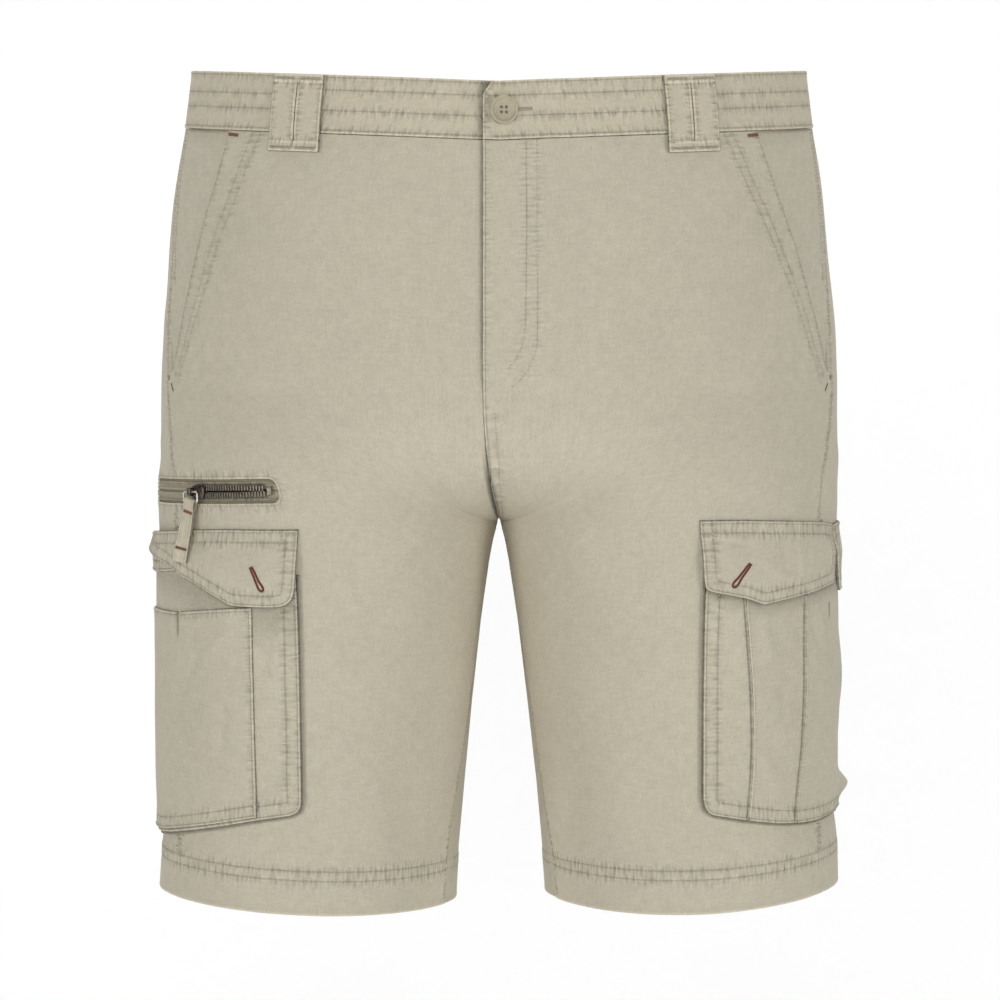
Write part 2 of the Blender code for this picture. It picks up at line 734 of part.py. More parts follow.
def over_back_flap(forward):
    """How far the right flap is lifted where it crosses the flap behind it."""
    return BACK_FLAP_LIFT * blend(BACK_FLAP_LIFT_FRONT, BACK_FLAP_LIFT_BACK, forward)


def pocket_bulge(rows, forward, down):
    """How far a pocket's panel stands off between its sewn edges."""
    across = (rows[0][0] - forward) / (rows[0][0] - rows[-1][0])
    inside = math.sin(math.pi * min(1.0, max(0.0, across))) * math.sin(math.pi * min(1.0, max(0.0, down)))
    return POCKET_BULGE * max(0.0, inside)


def kick(half, level, forward):
    """The crushed back corner of the left pocket, which stands out from the leg."""
    if half == RIGHT:
        return 0.0
    near = ((forward - KICK_FORWARD) / KICK_WIDTH) ** 2 + ((level - KICK_HEIGHT) / KICK_DEPTH) ** 2
    return KICK_OUT * math.exp(-near)


def build_pocket(name, half, rows, base, below=None):
    """A patch of pocket. below is the table of the pocket it lies on, whose swell it follows."""
    grid = fitted(rows, POCKET_ROWS, POCKET_LEAN)
    out = []
    for row in grid:
        swell = []
        for level, forward, down in row:
            if below:
                top, foot = read_table(below, forward)
                down = (top - level) / (top - foot)
            bulge = pocket_bulge(below or rows, forward, down)
            swell.append(base + POCKET_CLOTH + bulge + kick(half, level, forward))
        out.append(swell)
    spots = [[(level, way_at(half, level, forward)) for level, forward, _ in row] for row in grid]
    cloth(name, half, spots, CANVAS, out, POCKET_CLOTH)


def build_gusset(name, half, rows):
    """The folded strip under a pocket's sides and foot, which shows as a narrow edge outside it."""
    def edge(column, i):
        share = i / GUSSET_ROWS
        return column.forward * (1 - POCKET_LEAN * share), column.top + (column.foot - column.top) * share

    path = [edge(rows[0], i) for i in range(GUSSET_ROWS)]
    path += [edge(column, GUSSET_ROWS) for column in rows]
    path += [edge(rows[-1], i) for i in range(GUSSET_ROWS - 1, -1, -1)]
    grid = []
    for k, (forward, height) in enumerate(path):
        before, after = path[max(0, k - 1)], path[min(len(path) - 1, k + 1)]
        run = Vector((after[0] - before[0], after[1] - before[1])).normalized()
        outward = Vector((-run.y, run.x))
        row = []
        for reach in (GUSSET_OUTSIDE, -GUSSET_INSIDE / 3, -GUSSET_INSIDE):
            level = height + outward.y * reach
            row.append((level, way_at(half, level, forward + outward.x * reach)))
        grid.append(row)
    out = []
    for row in grid:
        kicks = [kick(half, level, forward_at(half, level, way)) for level, way in row]
        out.append([LAYER_GAP + GUSSET_CLOTH + KICK_UNDER * share for share in kicks])
    cloth(name, half, grid, CANVAS_SHADE, out, GUSSET_CLOTH)


def zip_height(forward):
    """The level of the zip's middle at a place along it."""
    return ZIP_HEIGHT + ZIP_FALL * window_share(forward)


def build_zip_strip(name, front, back, half_width, cells, out, thick, look):
    """A strip along the zip, which falls toward the back like its window."""
    grid = []
    for across in (half_width, -half_width):
        row = []
        for j in range(cells + 1):
            forward = front + (back - front) * j / cells
            level = zip_height(forward) + across
            row.append((level, way_at(RIGHT, level, forward)))
        grid.append(row)
    cloth(name, RIGHT, grid, look, out, thick)


def zip_frame(forward):
    """Axes on the zip at a place: forward along it, up the cloth, out of the cloth."""
    def place(spot):
        return on_leg(RIGHT, zip_height(spot), spot)

    level = zip_height(forward)
    outward = out_of(RIGHT, level, way_at(RIGHT, level, forward))
    along = place(forward + 4) - place(forward - 4)
    along = (along - outward * along.dot(outward)).normalized()
    upward = outward.cross(along).normalized()
    if upward.z < 0:
        upward = -upward
    frame = Matrix((along, upward, outward)).transposed().to_4x4()
    frame.translation = place(forward)
    return frame


def prism(outline, axis, low, high):
    """Points and faces of a prism: a flat outline carried along x (0) or z (2)."""
    def lift(point, value):
        return (value, point[0], point[1]) if axis == 0 else (point[0], point[1], value)

    count = len(outline)
    points = [lift(point, low) for point in outline] + [lift(point, high) for point in outline]
    faces = [tuple(range(count)), tuple(range(2 * count - 1, count - 1, -1))]
    faces += [(k, (k + 1) % count, (k + 1) % count + count, k + count) for k in range(count)]
    return points, faces


def union(base, other):
    """Fuse other into base. The other object stays as a hidden guide."""
    fuse = base.modifiers.new("fuse", "BOOLEAN")
    fuse.operation = "UNION"
    fuse.object = other
    other.hide_render = True
    other.display_type = "WIRE"


def build_slider(frame):
    """The slider: a plate that narrows from its mouth to its nose, with a bridge that holds the ring."""
    half, mouth, nose = SLIDER_LENGTH / 2, SLIDER_MOUTH / 2, SLIDER_NOSE / 2
    wide, slim = SLIDER_MOUTH_CUT, SLIDER_NOSE_CUT
    outline = (
        (-half, -nose + slim), (-half + slim, -nose), (half - wide, -mouth), (half, -mouth + wide),
        (half, mouth - wide), (half - wide, mouth), (-half + slim, nose), (-half, nose - slim),
    )
    points, faces = prism(outline, 2, SLIDER_FLOOR, SLIDER_TOP)
    plate = add_object("zip_slider", [frame @ Vector(point) for point in points], faces, METAL)
    out, inside, cut = BRIDGE_SPAN / 2, BRIDGE_SPAN / 2 - BRIDGE_WALL, BRIDGE_CUT
    foot, top = SLIDER_TOP - BRIDGE_SINK, SLIDER_TOP + BRIDGE_RISE
    under, shoulder = top - BRIDGE_WALL, BRIDGE_WALL
    arch = (
        (-out, foot), (-inside, foot), (-inside, under - cut), (-inside + cut, under),
        (inside - cut, under), (inside, under - cut), (inside, foot), (out, foot),
        (out, top - shoulder), (out - shoulder, top), (-out + shoulder, top), (-out, top - shoulder),
    )
    middle, reach = BRIDGE_OFFSET, BRIDGE_LENGTH / 2
    points, faces = prism(arch, 0, middle - reach, middle + reach)
    bridge = add_object("slider_bridge", [frame @ Vector(point) for point in points], faces, METAL)
    union(plate, bridge)


def ring_path():
    """The ring's centre line in its own plane, its top bar through the middle of the bridge."""
    corner = RING_CORNER
    side, high, low = (RING_WIDTH - RING_WIRE) / 2 - corner, -corner, corner - RING_DROP
    path = []
    for x, y, start in ((side, high, 0), (-side, high, 90), (-side, low, 180), (side, low, 270)):
        for step in range(RING_CORNER_STEPS + 1):
            turn = math.radians(start + 90 * step / RING_CORNER_STEPS)
            path.append((x + corner * math.cos(turn), y + corner * math.sin(turn)))
    return path


def build_ring(frame):
    """The wire ring, a closed tube along its path."""
    path = ring_path()
    sides = RING_SIDES
    points, faces = [], []
    for k, (x, y) in enumerate(path):
        before, after = path[k - 1], path[(k + 1) % len(path)]
        run = Vector((after[0] - before[0], after[1] - before[1], 0)).normalized()
        across = run.cross(Vector((0, 0, 1)))
        for s in range(sides):
            turn = 2 * math.pi * s / sides
            wire = RING_WIRE / 2 * (math.cos(turn) * across + math.sin(turn) * Vector((0, 0, 1)))
            points.append(frame @ (Vector((x, y, 0)) + wire))
    for k in range(len(path)):
        for s in range(sides):
            near, far = k * sides, ((k + 1) % len(path)) * sides
            faces.append((near + s, near + (s + 1) % sides, far + (s + 1) % sides, far + s))
    return add_object("pull_ring", points, faces, METAL)


def tab_outline():
    """The folded tab seen from its edge: two layers of cloth, apart round the ring and together below it."""
    turns = [math.pi * k / TAB_EYE_STEPS for k in range(TAB_EYE_STEPS + 1)]
    narrow, foot, close = -TAB_EYE_FOOT - TAB_EYE_TAPER, -TAB_LENGTH, TAB_LAYER_GAP / 2
    inner = [(foot, close), (narrow, close), (-TAB_EYE_FOOT, TAB_EYE)]
    inner += [(TAB_EYE_TOP + TAB_EYE * math.sin(turn), TAB_EYE * math.cos(turn)) for turn in turns]
    inner += [(-TAB_EYE_FOOT, -TAB_EYE), (narrow, -close), (foot, -close)]
    far, outside = TAB_EYE + TAB_CLOTH, close + TAB_CLOTH
    outer = [(foot, -outside), (narrow, -outside), (-TAB_EYE_FOOT, -far)]
    outer += [(TAB_EYE_TOP + far * math.sin(turn), -far * math.cos(turn)) for turn in turns]
    outer += [(-TAB_EYE_FOOT, far), (narrow, outside), (foot, outside)]
    return inner + outer


def build_tab(frame):
    """The tab, leaning a little to the side on its ring."""
    points, faces = prism(tab_outline(), 0, -TAB_WIDTH / 2, TAB_WIDTH / 2)
    lean = Matrix.Translation((0, -RING_DROP, 0)) @ Matrix.Rotation(math.radians(TAB_LEAN), 4, "Z")
    return add_object("pull_tab", [frame @ lean @ Vector(point) for point in points], faces, TAB)


def build_zip():
    """The tape behind the window, the closed teeth as one strip, the slider and its pull."""
    build_zip_strip(
        "zip_tape", ZIP_FRONT + TAPE_OVERLAP, ZIP_BACK - TAPE_OVERLAP, ZIP_WINDOW / 2 + TAPE_OVERLAP, 12,
        TAPE_OUT, TAPE_CLOTH, TAPE,
    )
    build_zip_strip(
        "zip_chain", ZIP_FRONT - CHAIN_MARGIN, SLIDER_FORWARD - SLIDER_LENGTH / 2, CHAIN_WIDTH / 2, 6,
        CHAIN_OUT, CHAIN_THICK, METAL,
    )
    build_slider(zip_frame(SLIDER_FORWARD))
    build_pull()


def pull_frame():
    """Axes of the pull where it hangs: along the zip, against its hang, out of the cloth."""
    slider = zip_frame(SLIDER_FORWARD)
    axle = slider @ Vector((BRIDGE_OFFSET, 0.0, SLIDER_TOP + PULL_HEIGHT))
    along = (slider.to_3x3() @ Vector((1, 0, 0))).normalized()
    end = on_leg(RIGHT, TAB_END_HEIGHT, TAB_END_FORWARD, TAB_END_OUT) - axle
    hang = (end - along * end.dot(along)).normalized()
    outward = along.cross(-hang).normalized()
    if outward.dot(slider.to_3x3() @ Vector((0, 0, 1))) < 0:
        outward = -outward
    frame = Matrix((along, -hang, outward)).transposed().to_4x4()
    frame.translation = axle
    return frame


def build_pull():
    """The ring and its tab, carried by an empty on the axis that they swing about."""
    frame = pull_frame()
    axle = frame.translation
    pivot = bpy.data.objects.new("pull_axis", None)
    pivot.location = axle * MM
    bpy.context.scene.collection.objects.link(pivot)
    for piece in (build_ring(frame), build_tab(frame)):
        piece.parent = pivot
        piece.matrix_parent_inverse = Matrix.Translation(-axle * MM)


def round_points(radius, sides, x=0.0, y=0.0):
    """Points of a circle in a plane."""
    turns = [2 * math.pi * s / sides for s in range(sides)]
    return [(x + radius * math.cos(turn), y + radius * math.sin(turn)) for turn in turns]


def button_frame():
    """Axes of the button on the lap of the band: across, up, out of the cloth."""
    way = way_of_x(0.0, BUTTON_X)
    outward = out_of(LEFT, 0.0, way)
    across = Vector((0, 0, 1)).cross(outward).normalized()
    frame = Matrix((across, outward.cross(across), outward)).transposed().to_4x4()
    frame.translation = skin(LEFT, 0.0, way, BAND_OUT + BAND_LAP_LIFT + BUTTON_GAP)
    return frame


def build_button():
    """The waist button: a dished disc with a raised rim and four holes."""
    frame = button_frame()
    radius, thick, sides = BUTTON_ACROSS / 2, BUTTON_THICK, BUTTON_SIDES
    profile = (
        (radius - BUTTON_RIM - 0.8, thick - BUTTON_DISH), (radius - BUTTON_RIM, thick), (radius - 0.9, thick),
        (radius - 0.1, thick - 0.8), (radius, thick / 2), (radius - 0.6, 0.3), (radius - 1.4, 0.0),
    )
    points = [frame @ Vector((x, y, z)) for reach, z in profile for x, y in round_points(reach, sides)]
    faces = [tuple(range(sides)), tuple(range(len(points) - 1, len(points) - sides - 1, -1))]
    for k in range(len(profile) - 1):
        for s in range(sides):
            near, far = k * sides, (k + 1) * sides
            faces.append((near + s, near + (s + 1) % sides, far + (s + 1) % sides, far + s))
    button = add_object("waist_button", points, faces, HORN)
    spread = BUTTON_HOLE_SPACING / 2
    for k, (x, y) in enumerate(((spread, spread), (-spread, spread), (-spread, -spread), (spread, -spread))):
        circle = round_points(BUTTON_HOLE / 2, BUTTON_HOLE_SIDES, x, y)
        points, faces = prism(circle, 2, -BUTTON_DRILL_OVER, thick + BUTTON_DRILL_OVER)
        drill = add_object(f"button_drill_{k}", [frame @ Vector(point) for point in points], faces, HORN)
        drill.hide_render = True
        drill.display_type = "WIRE"
        cut = button.modifiers.new(f"hole_{k}", "BOOLEAN")
        cut.operation = "DIFFERENCE"
        cut.object = drill


def main():
    """Clear the scene and build the shorts."""
    for old in list(bpy.data.objects):
        bpy.data.objects.remove(old, do_unlink=True)
    for half in (LEFT, RIGHT):
        build_waistband(half)
        build_front(half)
        build_back(half)
        build_hip(half)
    build_loops()
    build_gusset("cargo_gusset_right", RIGHT, POCKET_RIGHT)
    build_gusset("cargo_gusset_left", LEFT, POCKET_LEFT)
    build_pocket("cargo_pocket_right", RIGHT, POCKET_RIGHT, POCKET_OUT)
    build_pocket("cargo_pocket_left", LEFT, POCKET_LEFT, POCKET_OUT)
    build_pocket("phone_pocket", RIGHT, PHONE_RIGHT, PHONE_OUT, below=POCKET_RIGHT)
    build_flap("cargo_flap_right", RIGHT, FLAP_RIGHT, FLAP_FOOT_OUT, FLAP_LEAN, over_back_flap)
    build_flap("cargo_flap_right_back", RIGHT, FLAP_RIGHT_BACK, RIGHT_BACK_FLAP_OUT)
    build_flap("cargo_flap_left", LEFT, FLAP_LEFT, FLAP_FOOT_OUT, FLAP_LEAN)
    build_flap("cargo_flap_left_back", LEFT, FLAP_LEFT_BACK, FLAP_FOOT_OUT)
    build_zip()
    build_button()


if __name__ == "__main__":
    main()
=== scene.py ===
"""Cloth, sewing and fittings of the men's cargo shorts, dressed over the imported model.

Millimetres are used for every place on the cloth and metres in the finished meshes. A place on the cloth is
(forward, level): forward is the length of cloth forward of the side seam, and level runs down like a height.
A way runs round one half: -1 the centre front or inner leg, 0 the outer side, +1 the centre back.
"""

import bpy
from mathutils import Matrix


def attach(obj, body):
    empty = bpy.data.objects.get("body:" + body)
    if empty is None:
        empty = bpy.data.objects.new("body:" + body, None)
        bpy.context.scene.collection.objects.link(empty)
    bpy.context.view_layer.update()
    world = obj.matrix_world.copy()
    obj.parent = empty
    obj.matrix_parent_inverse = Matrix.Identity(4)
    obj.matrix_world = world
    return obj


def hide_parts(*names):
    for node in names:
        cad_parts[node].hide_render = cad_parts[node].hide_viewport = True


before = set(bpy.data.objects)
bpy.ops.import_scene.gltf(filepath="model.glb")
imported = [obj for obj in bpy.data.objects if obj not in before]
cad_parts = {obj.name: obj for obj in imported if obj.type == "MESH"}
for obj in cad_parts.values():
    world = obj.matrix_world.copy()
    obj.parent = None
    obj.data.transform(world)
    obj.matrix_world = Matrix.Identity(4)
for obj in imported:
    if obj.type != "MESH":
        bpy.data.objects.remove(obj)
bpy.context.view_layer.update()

import math
from collections import namedtuple

import bmesh
import bpy
import numpy as np
from mathutils import Matrix, Vector
from mathutils.bvhtree import BVHTree

bl_info = {
    "name": "Cargo Shorts Maker",
    "version": (1, 0, 0),
    "blender": (4, 5, 0),
    "location": "3D View > Sidebar > Shorts",
    "description": "Makes the cloth, sewing, zip and button of a pair of cargo shorts",
    "category": "Add Mesh",
}

MM = 0.001
LEFT, RIGHT = 1, -1

# ---------------------------------------------------------------- the form that every piece of cloth lies on

BAND_TOP, BAND_FOOT = 19.0, -19.0
RISE_START, CROTCH = -188.0, -280.0
HEM_LINE, HEM_FOOT = -507.0, -534.0
FRONT_DIP, BACK_DIP, DIP_END = 9.5, 5.0, -150.0
HEM_TILT, HEM_SHAPE_START = 3.0, -430.0
HemShape = namedtuple("HemShape", "lift tilt sag")
HEM_SHAPES = {LEFT: HemShape(3.3, 0.7, 4.0), RIGHT: HemShape(1.0, 1.0, 2.3)}

SECTION_COLUMNS = ("level", "side_left", "side_right", "front", "back", "inner_left", "inner_right")
SECTIONS = (
    (19.0, 204.2, 204.2, 140.0, 148.0, 0.2, 0.2),
    (-19.0, 209.0, 209.0, 143.5, 153.0, 0.2, 0.2),
    (-45.0, 213.6, 213.8, 145.5, 157.0, 0.2, 0.2),
    (-66.0, 216.6, 216.9, 147.0, 160.0, 0.2, 0.2),
    (-93.0, 219.3, 219.6, 148.0, 163.5, 0.2, 0.2),
    (-120.0, 221.6, 221.8, 148.5, 166.0, 0.2, 0.2),
    (-147.0, 224.6, 224.4, 148.0, 167.0, 0.2, 0.2),
    (-188.0, 226.5, 226.0, 145.0, 164.5, 0.2, 0.2),
    (-240.0, 226.6, 226.4, 136.0, 151.5, 0.2, 0.2),
    (-251.0, 226.6, 228.2, 134.8, 149.8, 0.2, 0.2),
    (-272.0, 226.8, 228.2, 131.8, 146.0, 0.3, 0.3),
    (-280.0, 226.6, 227.6, 130.0, 144.0, 0.3, 0.3),
    (-295.0, 225.4, 226.8, 127.0, 140.0, 4.2, 4.2),
    (-308.0, 223.8, 226.0, 125.0, 137.0, 6.6, 6.6),
    (-348.0, 223.4, 225.4, 118.0, 128.0, 12.6, 12.2),
    (-402.0, 223.6, 225.0, 110.0, 118.0, 19.2, 18.2),
    (-456.0, 223.8, 224.6, 103.0, 109.0, 25.2, 23.3),
    (-478.0, 224.4, 224.4, 101.0, 106.0, 27.0, 25.2),
    (-500.0, 227.0, 226.0, 98.6, 102.8, 28.8, 27.2),
    (-534.0, 228.2, 228.0, 96.0, 99.0, 31.2, 29.0),
)
SQUARENESS = 0.035
RISE_EDGE, RISE_FULLNESS = 0.55, 0.10
SEAM_WAY_TOP, SEAM_WAY_FOOT, SEAM_WAY_LEVEL = -0.10, -0.175, -190.0
INSEAM_TURN = 0.13
WAY_LENGTH = 290.0
SEAM = 0.3
LEVEL_NUDGE, WAY_NUDGE = 1.5, 0.006
SECTION_SMOOTH = 5.0

# Creases: which half, where each starts and ends, how wide it is, and how proud (below 0 a trough).
Crease = namedtuple("Crease", "half top foot top_way foot_way width proud")
CREASES = tuple(Crease(*row) for row in (
    (LEFT, -205.0, -345.0, -0.95, -0.62, 0.075, 2.4),
    (RIGHT, -205.0, -335.0, -0.95, -0.60, 0.075, 2.2),
    (LEFT, -330.0, -530.0, -0.72, -0.66, 0.080, 2.0),
    (RIGHT, -350.0, -532.0, -0.56, -0.62, 0.085, 1.8),
    (LEFT, -370.0, -530.0, -0.86, -0.84, 0.060, 1.8),
    (RIGHT, -300.0, -500.0, -0.82, -0.86, 0.060, 2.0),
    (LEFT, -225.0, -390.0, 0.88, 0.55, 0.090, 3.2),
    (RIGHT, -225.0, -380.0, 0.88, 0.52, 0.090, 3.4),
    (LEFT, -260.0, -500.0, 0.70, 0.76, 0.070, 2.6),
    (RIGHT, -270.0, -490.0, 0.73, 0.79, 0.070, 2.4),
    # troughs and ridges between them, at the front
    (LEFT, -222.0, -318.0, -0.90, -0.70, 0.030, -1.1),
    (RIGHT, -226.0, -312.0, -0.90, -0.68, 0.026, -1.0),
    (LEFT, -250.0, -420.0, -0.80, -0.58, 0.045, -1.2),
    (RIGHT, -246.0, -404.0, -0.78, -0.52, 0.050, -1.3),
    (LEFT, -392.0, -520.0, -0.60, -0.54, 0.035, -0.9),
    (RIGHT, -410.0, -524.0, -0.70, -0.73, 0.040, -1.0),
    (LEFT, -440.0, -531.0, -0.77, -0.78, 0.030, -1.0),
    (RIGHT, -300.0, -392.0, -0.46, -0.54, 0.030, 0.7),
    (LEFT, -64.0, -182.0, -0.70, -0.63, 0.060, 0.7),
    (RIGHT, -52.0, -160.0, -0.72, -0.66, 0.055, 0.6),
    (LEFT, -150.0, -262.0, -0.55, -0.50, 0.050, -0.7),
    (RIGHT, -138.0, -240.0, -0.62, -0.52, 0.045, -0.6),
    (RIGHT, -476.0, -528.0, -0.40, -0.41, 0.014, 0.8),
    (RIGHT, -480.0, -530.0, -0.345, -0.35, 0.012, 0.7),
    (LEFT, -474.0, -524.0, -0.43, -0.41, 0.015, 0.7),
    (LEFT, -478.0, -530.0, -0.30, -0.31, 0.013, 0.8),
    # sides
    (LEFT, -70.0, -178.0, -0.10, -0.06, 0.040, -0.9),
    (RIGHT, -62.0, -170.0, -0.05, -0.09, 0.042, -0.8),
    (LEFT, -196.0, -262.0, -0.20, 0.02, 0.030, 0.9),
    (RIGHT, -200.0, -244.0, -0.16, 0.00, 0.026, 0.7),
    (RIGHT, -484.0, -531.0, 0.02, 0.03, 0.020, 1.0),
    (LEFT, -482.0, -531.0, 0.05, 0.04, 0.022, 0.9),
    # the seat and the backs of the legs
    (LEFT, -70.0, -208.0, 0.62, 0.74, 0.070, 1.6),
    (RIGHT, -62.0, -196.0, 0.58, 0.72, 0.075, 1.5),
    (LEFT, -176.0, -282.0, 0.52, 0.90, 0.038, -1.7),
    (RIGHT, -184.0, -290.0, 0.48, 0.90, 0.036, -1.8),
    (LEFT, -246.0, -352.0, 0.92, 0.66, 0.036, -1.9),
    (RIGHT, -250.0, -346.0, 0.92, 0.62, 0.040, -2.0),
    (LEFT, -300.0, -420.0, 0.34, 0.58, 0.045, 1.5),
    (RIGHT, -290.0, -408.0, 0.30, 0.60, 0.050, 1.4),
    (LEFT, -372.0, -522.0, 0.42, 0.48, 0.040, -1.4),
    (RIGHT, -360.0, -514.0, 0.46, 0.44, 0.045, -1.5),
    (LEFT, -408.0, -530.0, 0.90, 0.86, 0.035, -1.2),
    (RIGHT, -420.0, -531.0, 0.86, 0.92, 0.032, -1.1),
    (LEFT, -452.0, -531.0, 0.60, 0.62, 0.022, 1.1),
    (RIGHT, -446.0, -530.0, 0.64, 0.60, 0.024, 1.2),
))
CREASE_END = 0.93


def blend(low, high, value):
    """0 at low, 1 at high, smooth between."""
    share = np.clip((np.asarray(value, float) - low) / (high - low), 0.0, 1.0)
    return share * share * (3 - 2 * share)


def smooth_tables():
    """The sections' columns at every millimetre of level, with their corners eased."""
    levels = np.arange(-560.0, 41.0)
    known = np.array(SECTIONS)[::-1]
    reach = np.arange(-20, 21)
    kernel = np.exp(-(reach / SECTION_SMOOTH) ** 2 / 2)
    kernel /= kernel.sum()
    tables = {}
    for place, name in enumerate(SECTION_COLUMNS[1:], 1):
        column = np.interp(levels, known[:, 0], known[:, place])
        if not name.startswith("inner"):
            column = np.convolve(np.pad(column, 20, mode="edge"), kernel, "valid")
        tables[name] = column
    return levels, tables


SECTION_LEVELS, SECTION_TABLES = smooth_tables()


def section_value(name, level):
    """One column of the sections at any level."""
    return np.interp(level, SECTION_LEVELS, SECTION_TABLES[name])


def leg_share(level):
    """0 where the section is one trunk, 1 where it is two legs."""
    return blend(RISE_START, CROTCH, level)


def height_at(level, way):
    """The height of a level: lower at the centre seam, which curves round under the crotch."""
    share = leg_share(level)
    curved = RISE_START - (RISE_START - CROTCH) * np.sqrt(np.maximum(0.0, 1 - (1 - share) ** 2))
    inside = (level > CROTCH) & (level < RISE_START)
    return np.where(inside, level + (curved - level) * blend(RISE_EDGE, 1.0, np.abs(way)), level)


def plain_point(half, level, way):
    """Points of the cloth without creases. Past the centre seam, the trunk goes on as its other half."""
    level, way = np.broadcast_arrays(np.asarray(level, float), np.asarray(way, float))
    past = (level > CROTCH) & (np.abs(way) > 1)
    way = np.where(past, np.copysign(2.0, way) - way, way)
    hand = np.where(past, -half, half)
    on_left = hand == LEFT
    side = np.where(on_left, section_value("side_left", level), section_value("side_right", level))
    inner = np.where(on_left, section_value("inner_left", level), section_value("inner_right", level))
    front, back = section_value("front", level), section_value("back", level)
    share = leg_share(level)
    trunk_turn, leg_turn = way * math.pi / 2, way * math.pi
    trunk_full = 1 + SQUARENESS * np.sin(2 * trunk_turn) ** 2
    leg_full = 1 + SQUARENESS / 2 * np.sin(2 * leg_turn) ** 2
    trunk_x = (inner + (side - inner) * np.cos(trunk_turn)) * trunk_full
    trunk_y = np.sin(trunk_turn) * trunk_full
    leg_x = (side + inner) / 2 + (side - inner) / 2 * np.cos(leg_turn) * leg_full
    leg_y = np.sin(leg_turn) * leg_full
    trunk_y = trunk_y * np.where(trunk_y < 0, front, back)
    leg_y = leg_y * np.where(leg_y < 0, front, back)
    x = trunk_x + (leg_x - trunk_x) * share
    y = trunk_y + (leg_y - trunk_y) * share
    y = y * (1 + RISE_FULLNESS * np.sin(math.pi * share**0.75))
    dip = np.where(way < 0, FRONT_DIP, BACK_DIP)
    z = height_at(level, way) - dip * np.abs(way) ** 1.5 * blend(DIP_END, BAND_FOOT, level)
    z = z + HEM_TILT * np.cos(leg_turn) * blend(CROTCH, HEM_FOOT, level)
    hem = HEM_SHAPES[half]
    sag = 1 - np.sin(leg_turn) ** 2 * np.where(leg_turn < 0, 2.0, 1.0)
    shape = hem.lift + hem.tilt * np.cos(leg_turn) + hem.sag * sag
    z = z + shape * blend(HEM_SHAPE_START, HEM_FOOT, level)
    return np.stack([hand * x, y, z], axis=-1)


def out_of(half, level, way):
    """The way out of the cloth at each place."""
    down = plain_point(half, level - LEVEL_NUDGE, way) - plain_point(half, level + LEVEL_NUDGE, way)
    backward = plain_point(half, level, way + WAY_NUDGE) - plain_point(half, level, way - WAY_NUDGE)
    out = -half * np.cross(backward, down)
    return out / np.linalg.norm(out, axis=-1, keepdims=True)


def crease_height(half, level, way):
    """How far the creases and a faint unevenness lift the cloth."""
    lift = np.zeros(np.broadcast(level, way).shape)
    for crease in CREASES:
        if crease.half != half:
            continue
        along = np.clip((crease.top - level) / (crease.top - crease.foot), 0.0, 1.0)
        centre = crease.top_way + (crease.foot_way - crease.top_way) * along
        bow = 0.18 * crease.width * np.sin(9.0 * along + 40 * crease.width)
        across = (way - centre - bow) / crease.width
        lift += crease.proud * np.sin(math.pi * along) ** 2 * np.exp(-across * across)
    round_way, turn = way * WAY_LENGTH, 1.7 * half
    uneven = 0.30 * np.sin(round_way / 24 + 1.3 + turn) * np.sin(level / 33 + 0.7)
    uneven += 0.17 * np.sin(round_way / 12.5 + level / 18.5 + 2.1 + turn)
    uneven += 0.14 * np.sin(round_way / 8.6 - level / 14.2 + 0.4 - turn)
    uneven += 0.08 * np.sin(round_way / 5.3 + level / 26.0 + 1.9) * np.sin(level / 7.7 - turn)
    calm = 0.35 + 0.65 * blend(-25.0, -70.0, level)
    if half == RIGHT:  # the zip's tape keeps the cloth flat
        near = np.exp(-((level + 257) / 18) ** 2)
        calm = calm * (1 - near * blend(-0.75, -0.5, way) * blend(0.45, 0.2, way))
    return (lift + uneven * calm) * blend(1.0, CREASE_END, np.abs(way))


def skin(half, level, way, out=0.0):
    """Points of the creased cloth's outer face, moved out by a distance."""
    lift = crease_height(half, level, way) + out
    return plain_point(half, level, way) + out_of(half, level, way) * lift[..., None]


def seam_way(level):
    """The way of the side seam: it swings forward from the waist to the leg."""
    return SEAM_WAY_TOP + (SEAM_WAY_FOOT - SEAM_WAY_TOP) * blend(BAND_FOOT, SEAM_WAY_LEVEL, level)


LEVELS = np.arange(40.0, -557.0, -2.0)
WAYS = np.linspace(-1.13, 1.13, 227)
FORWARDS = np.arange(-441.0, 361.0, 1.5)


def round_tables(half):
    """Forward lengths at each level and way, and ways at each level and forward length."""
    level, way = np.meshgrid(LEVELS, WAYS, indexing="ij")
    points = plain_point(half, level, way)
    steps = np.linalg.norm(np.diff(points, axis=1), axis=2)
    lengths = np.concatenate([np.zeros((len(LEVELS), 1)), np.cumsum(steps, axis=1)], axis=1)
    seams = seam_way(LEVELS)
    middle = np.array([np.interp(seam, WAYS, row) for seam, row in zip(seams, lengths)])
    forward = middle[:, None] - lengths
    ways = np.array([np.interp(-FORWARDS, -row, WAYS) for row in forward])
    return forward, ways


ROUND = {half: round_tables(half) for half in (LEFT, RIGHT)}


def sample(table, columns, level, value):
    """A table's value between its levels and its even columns."""
    level, value = np.broadcast_arrays(np.asarray(level, float), np.asarray(value, float))
    row = np.clip((level - LEVELS[0]) / (LEVELS[1] - LEVELS[0]), 0, len(LEVELS) - 1.001)
    column = np.clip((value - columns[0]) / (columns[1] - columns[0]), 0, len(columns) - 1.001)
    i, j = row.astype(int), column.astype(int)
    a, b = row - i, column - j
    top = table[i, j] * (1 - b) + table[i, j + 1] * b
    foot = table[i + 1, j] * (1 - b) + table[i + 1, j + 1] * b
    return top * (1 - a) + foot * a


def way_at(half, level, forward):
    """The way at a length of cloth forward of the side seam."""
    return sample(ROUND[half][1], FORWARDS, level, forward)


def forward_at(half, level, way):
    """The length of cloth from the side seam forward to a way."""
    return sample(ROUND[half][0], WAYS, level, way)


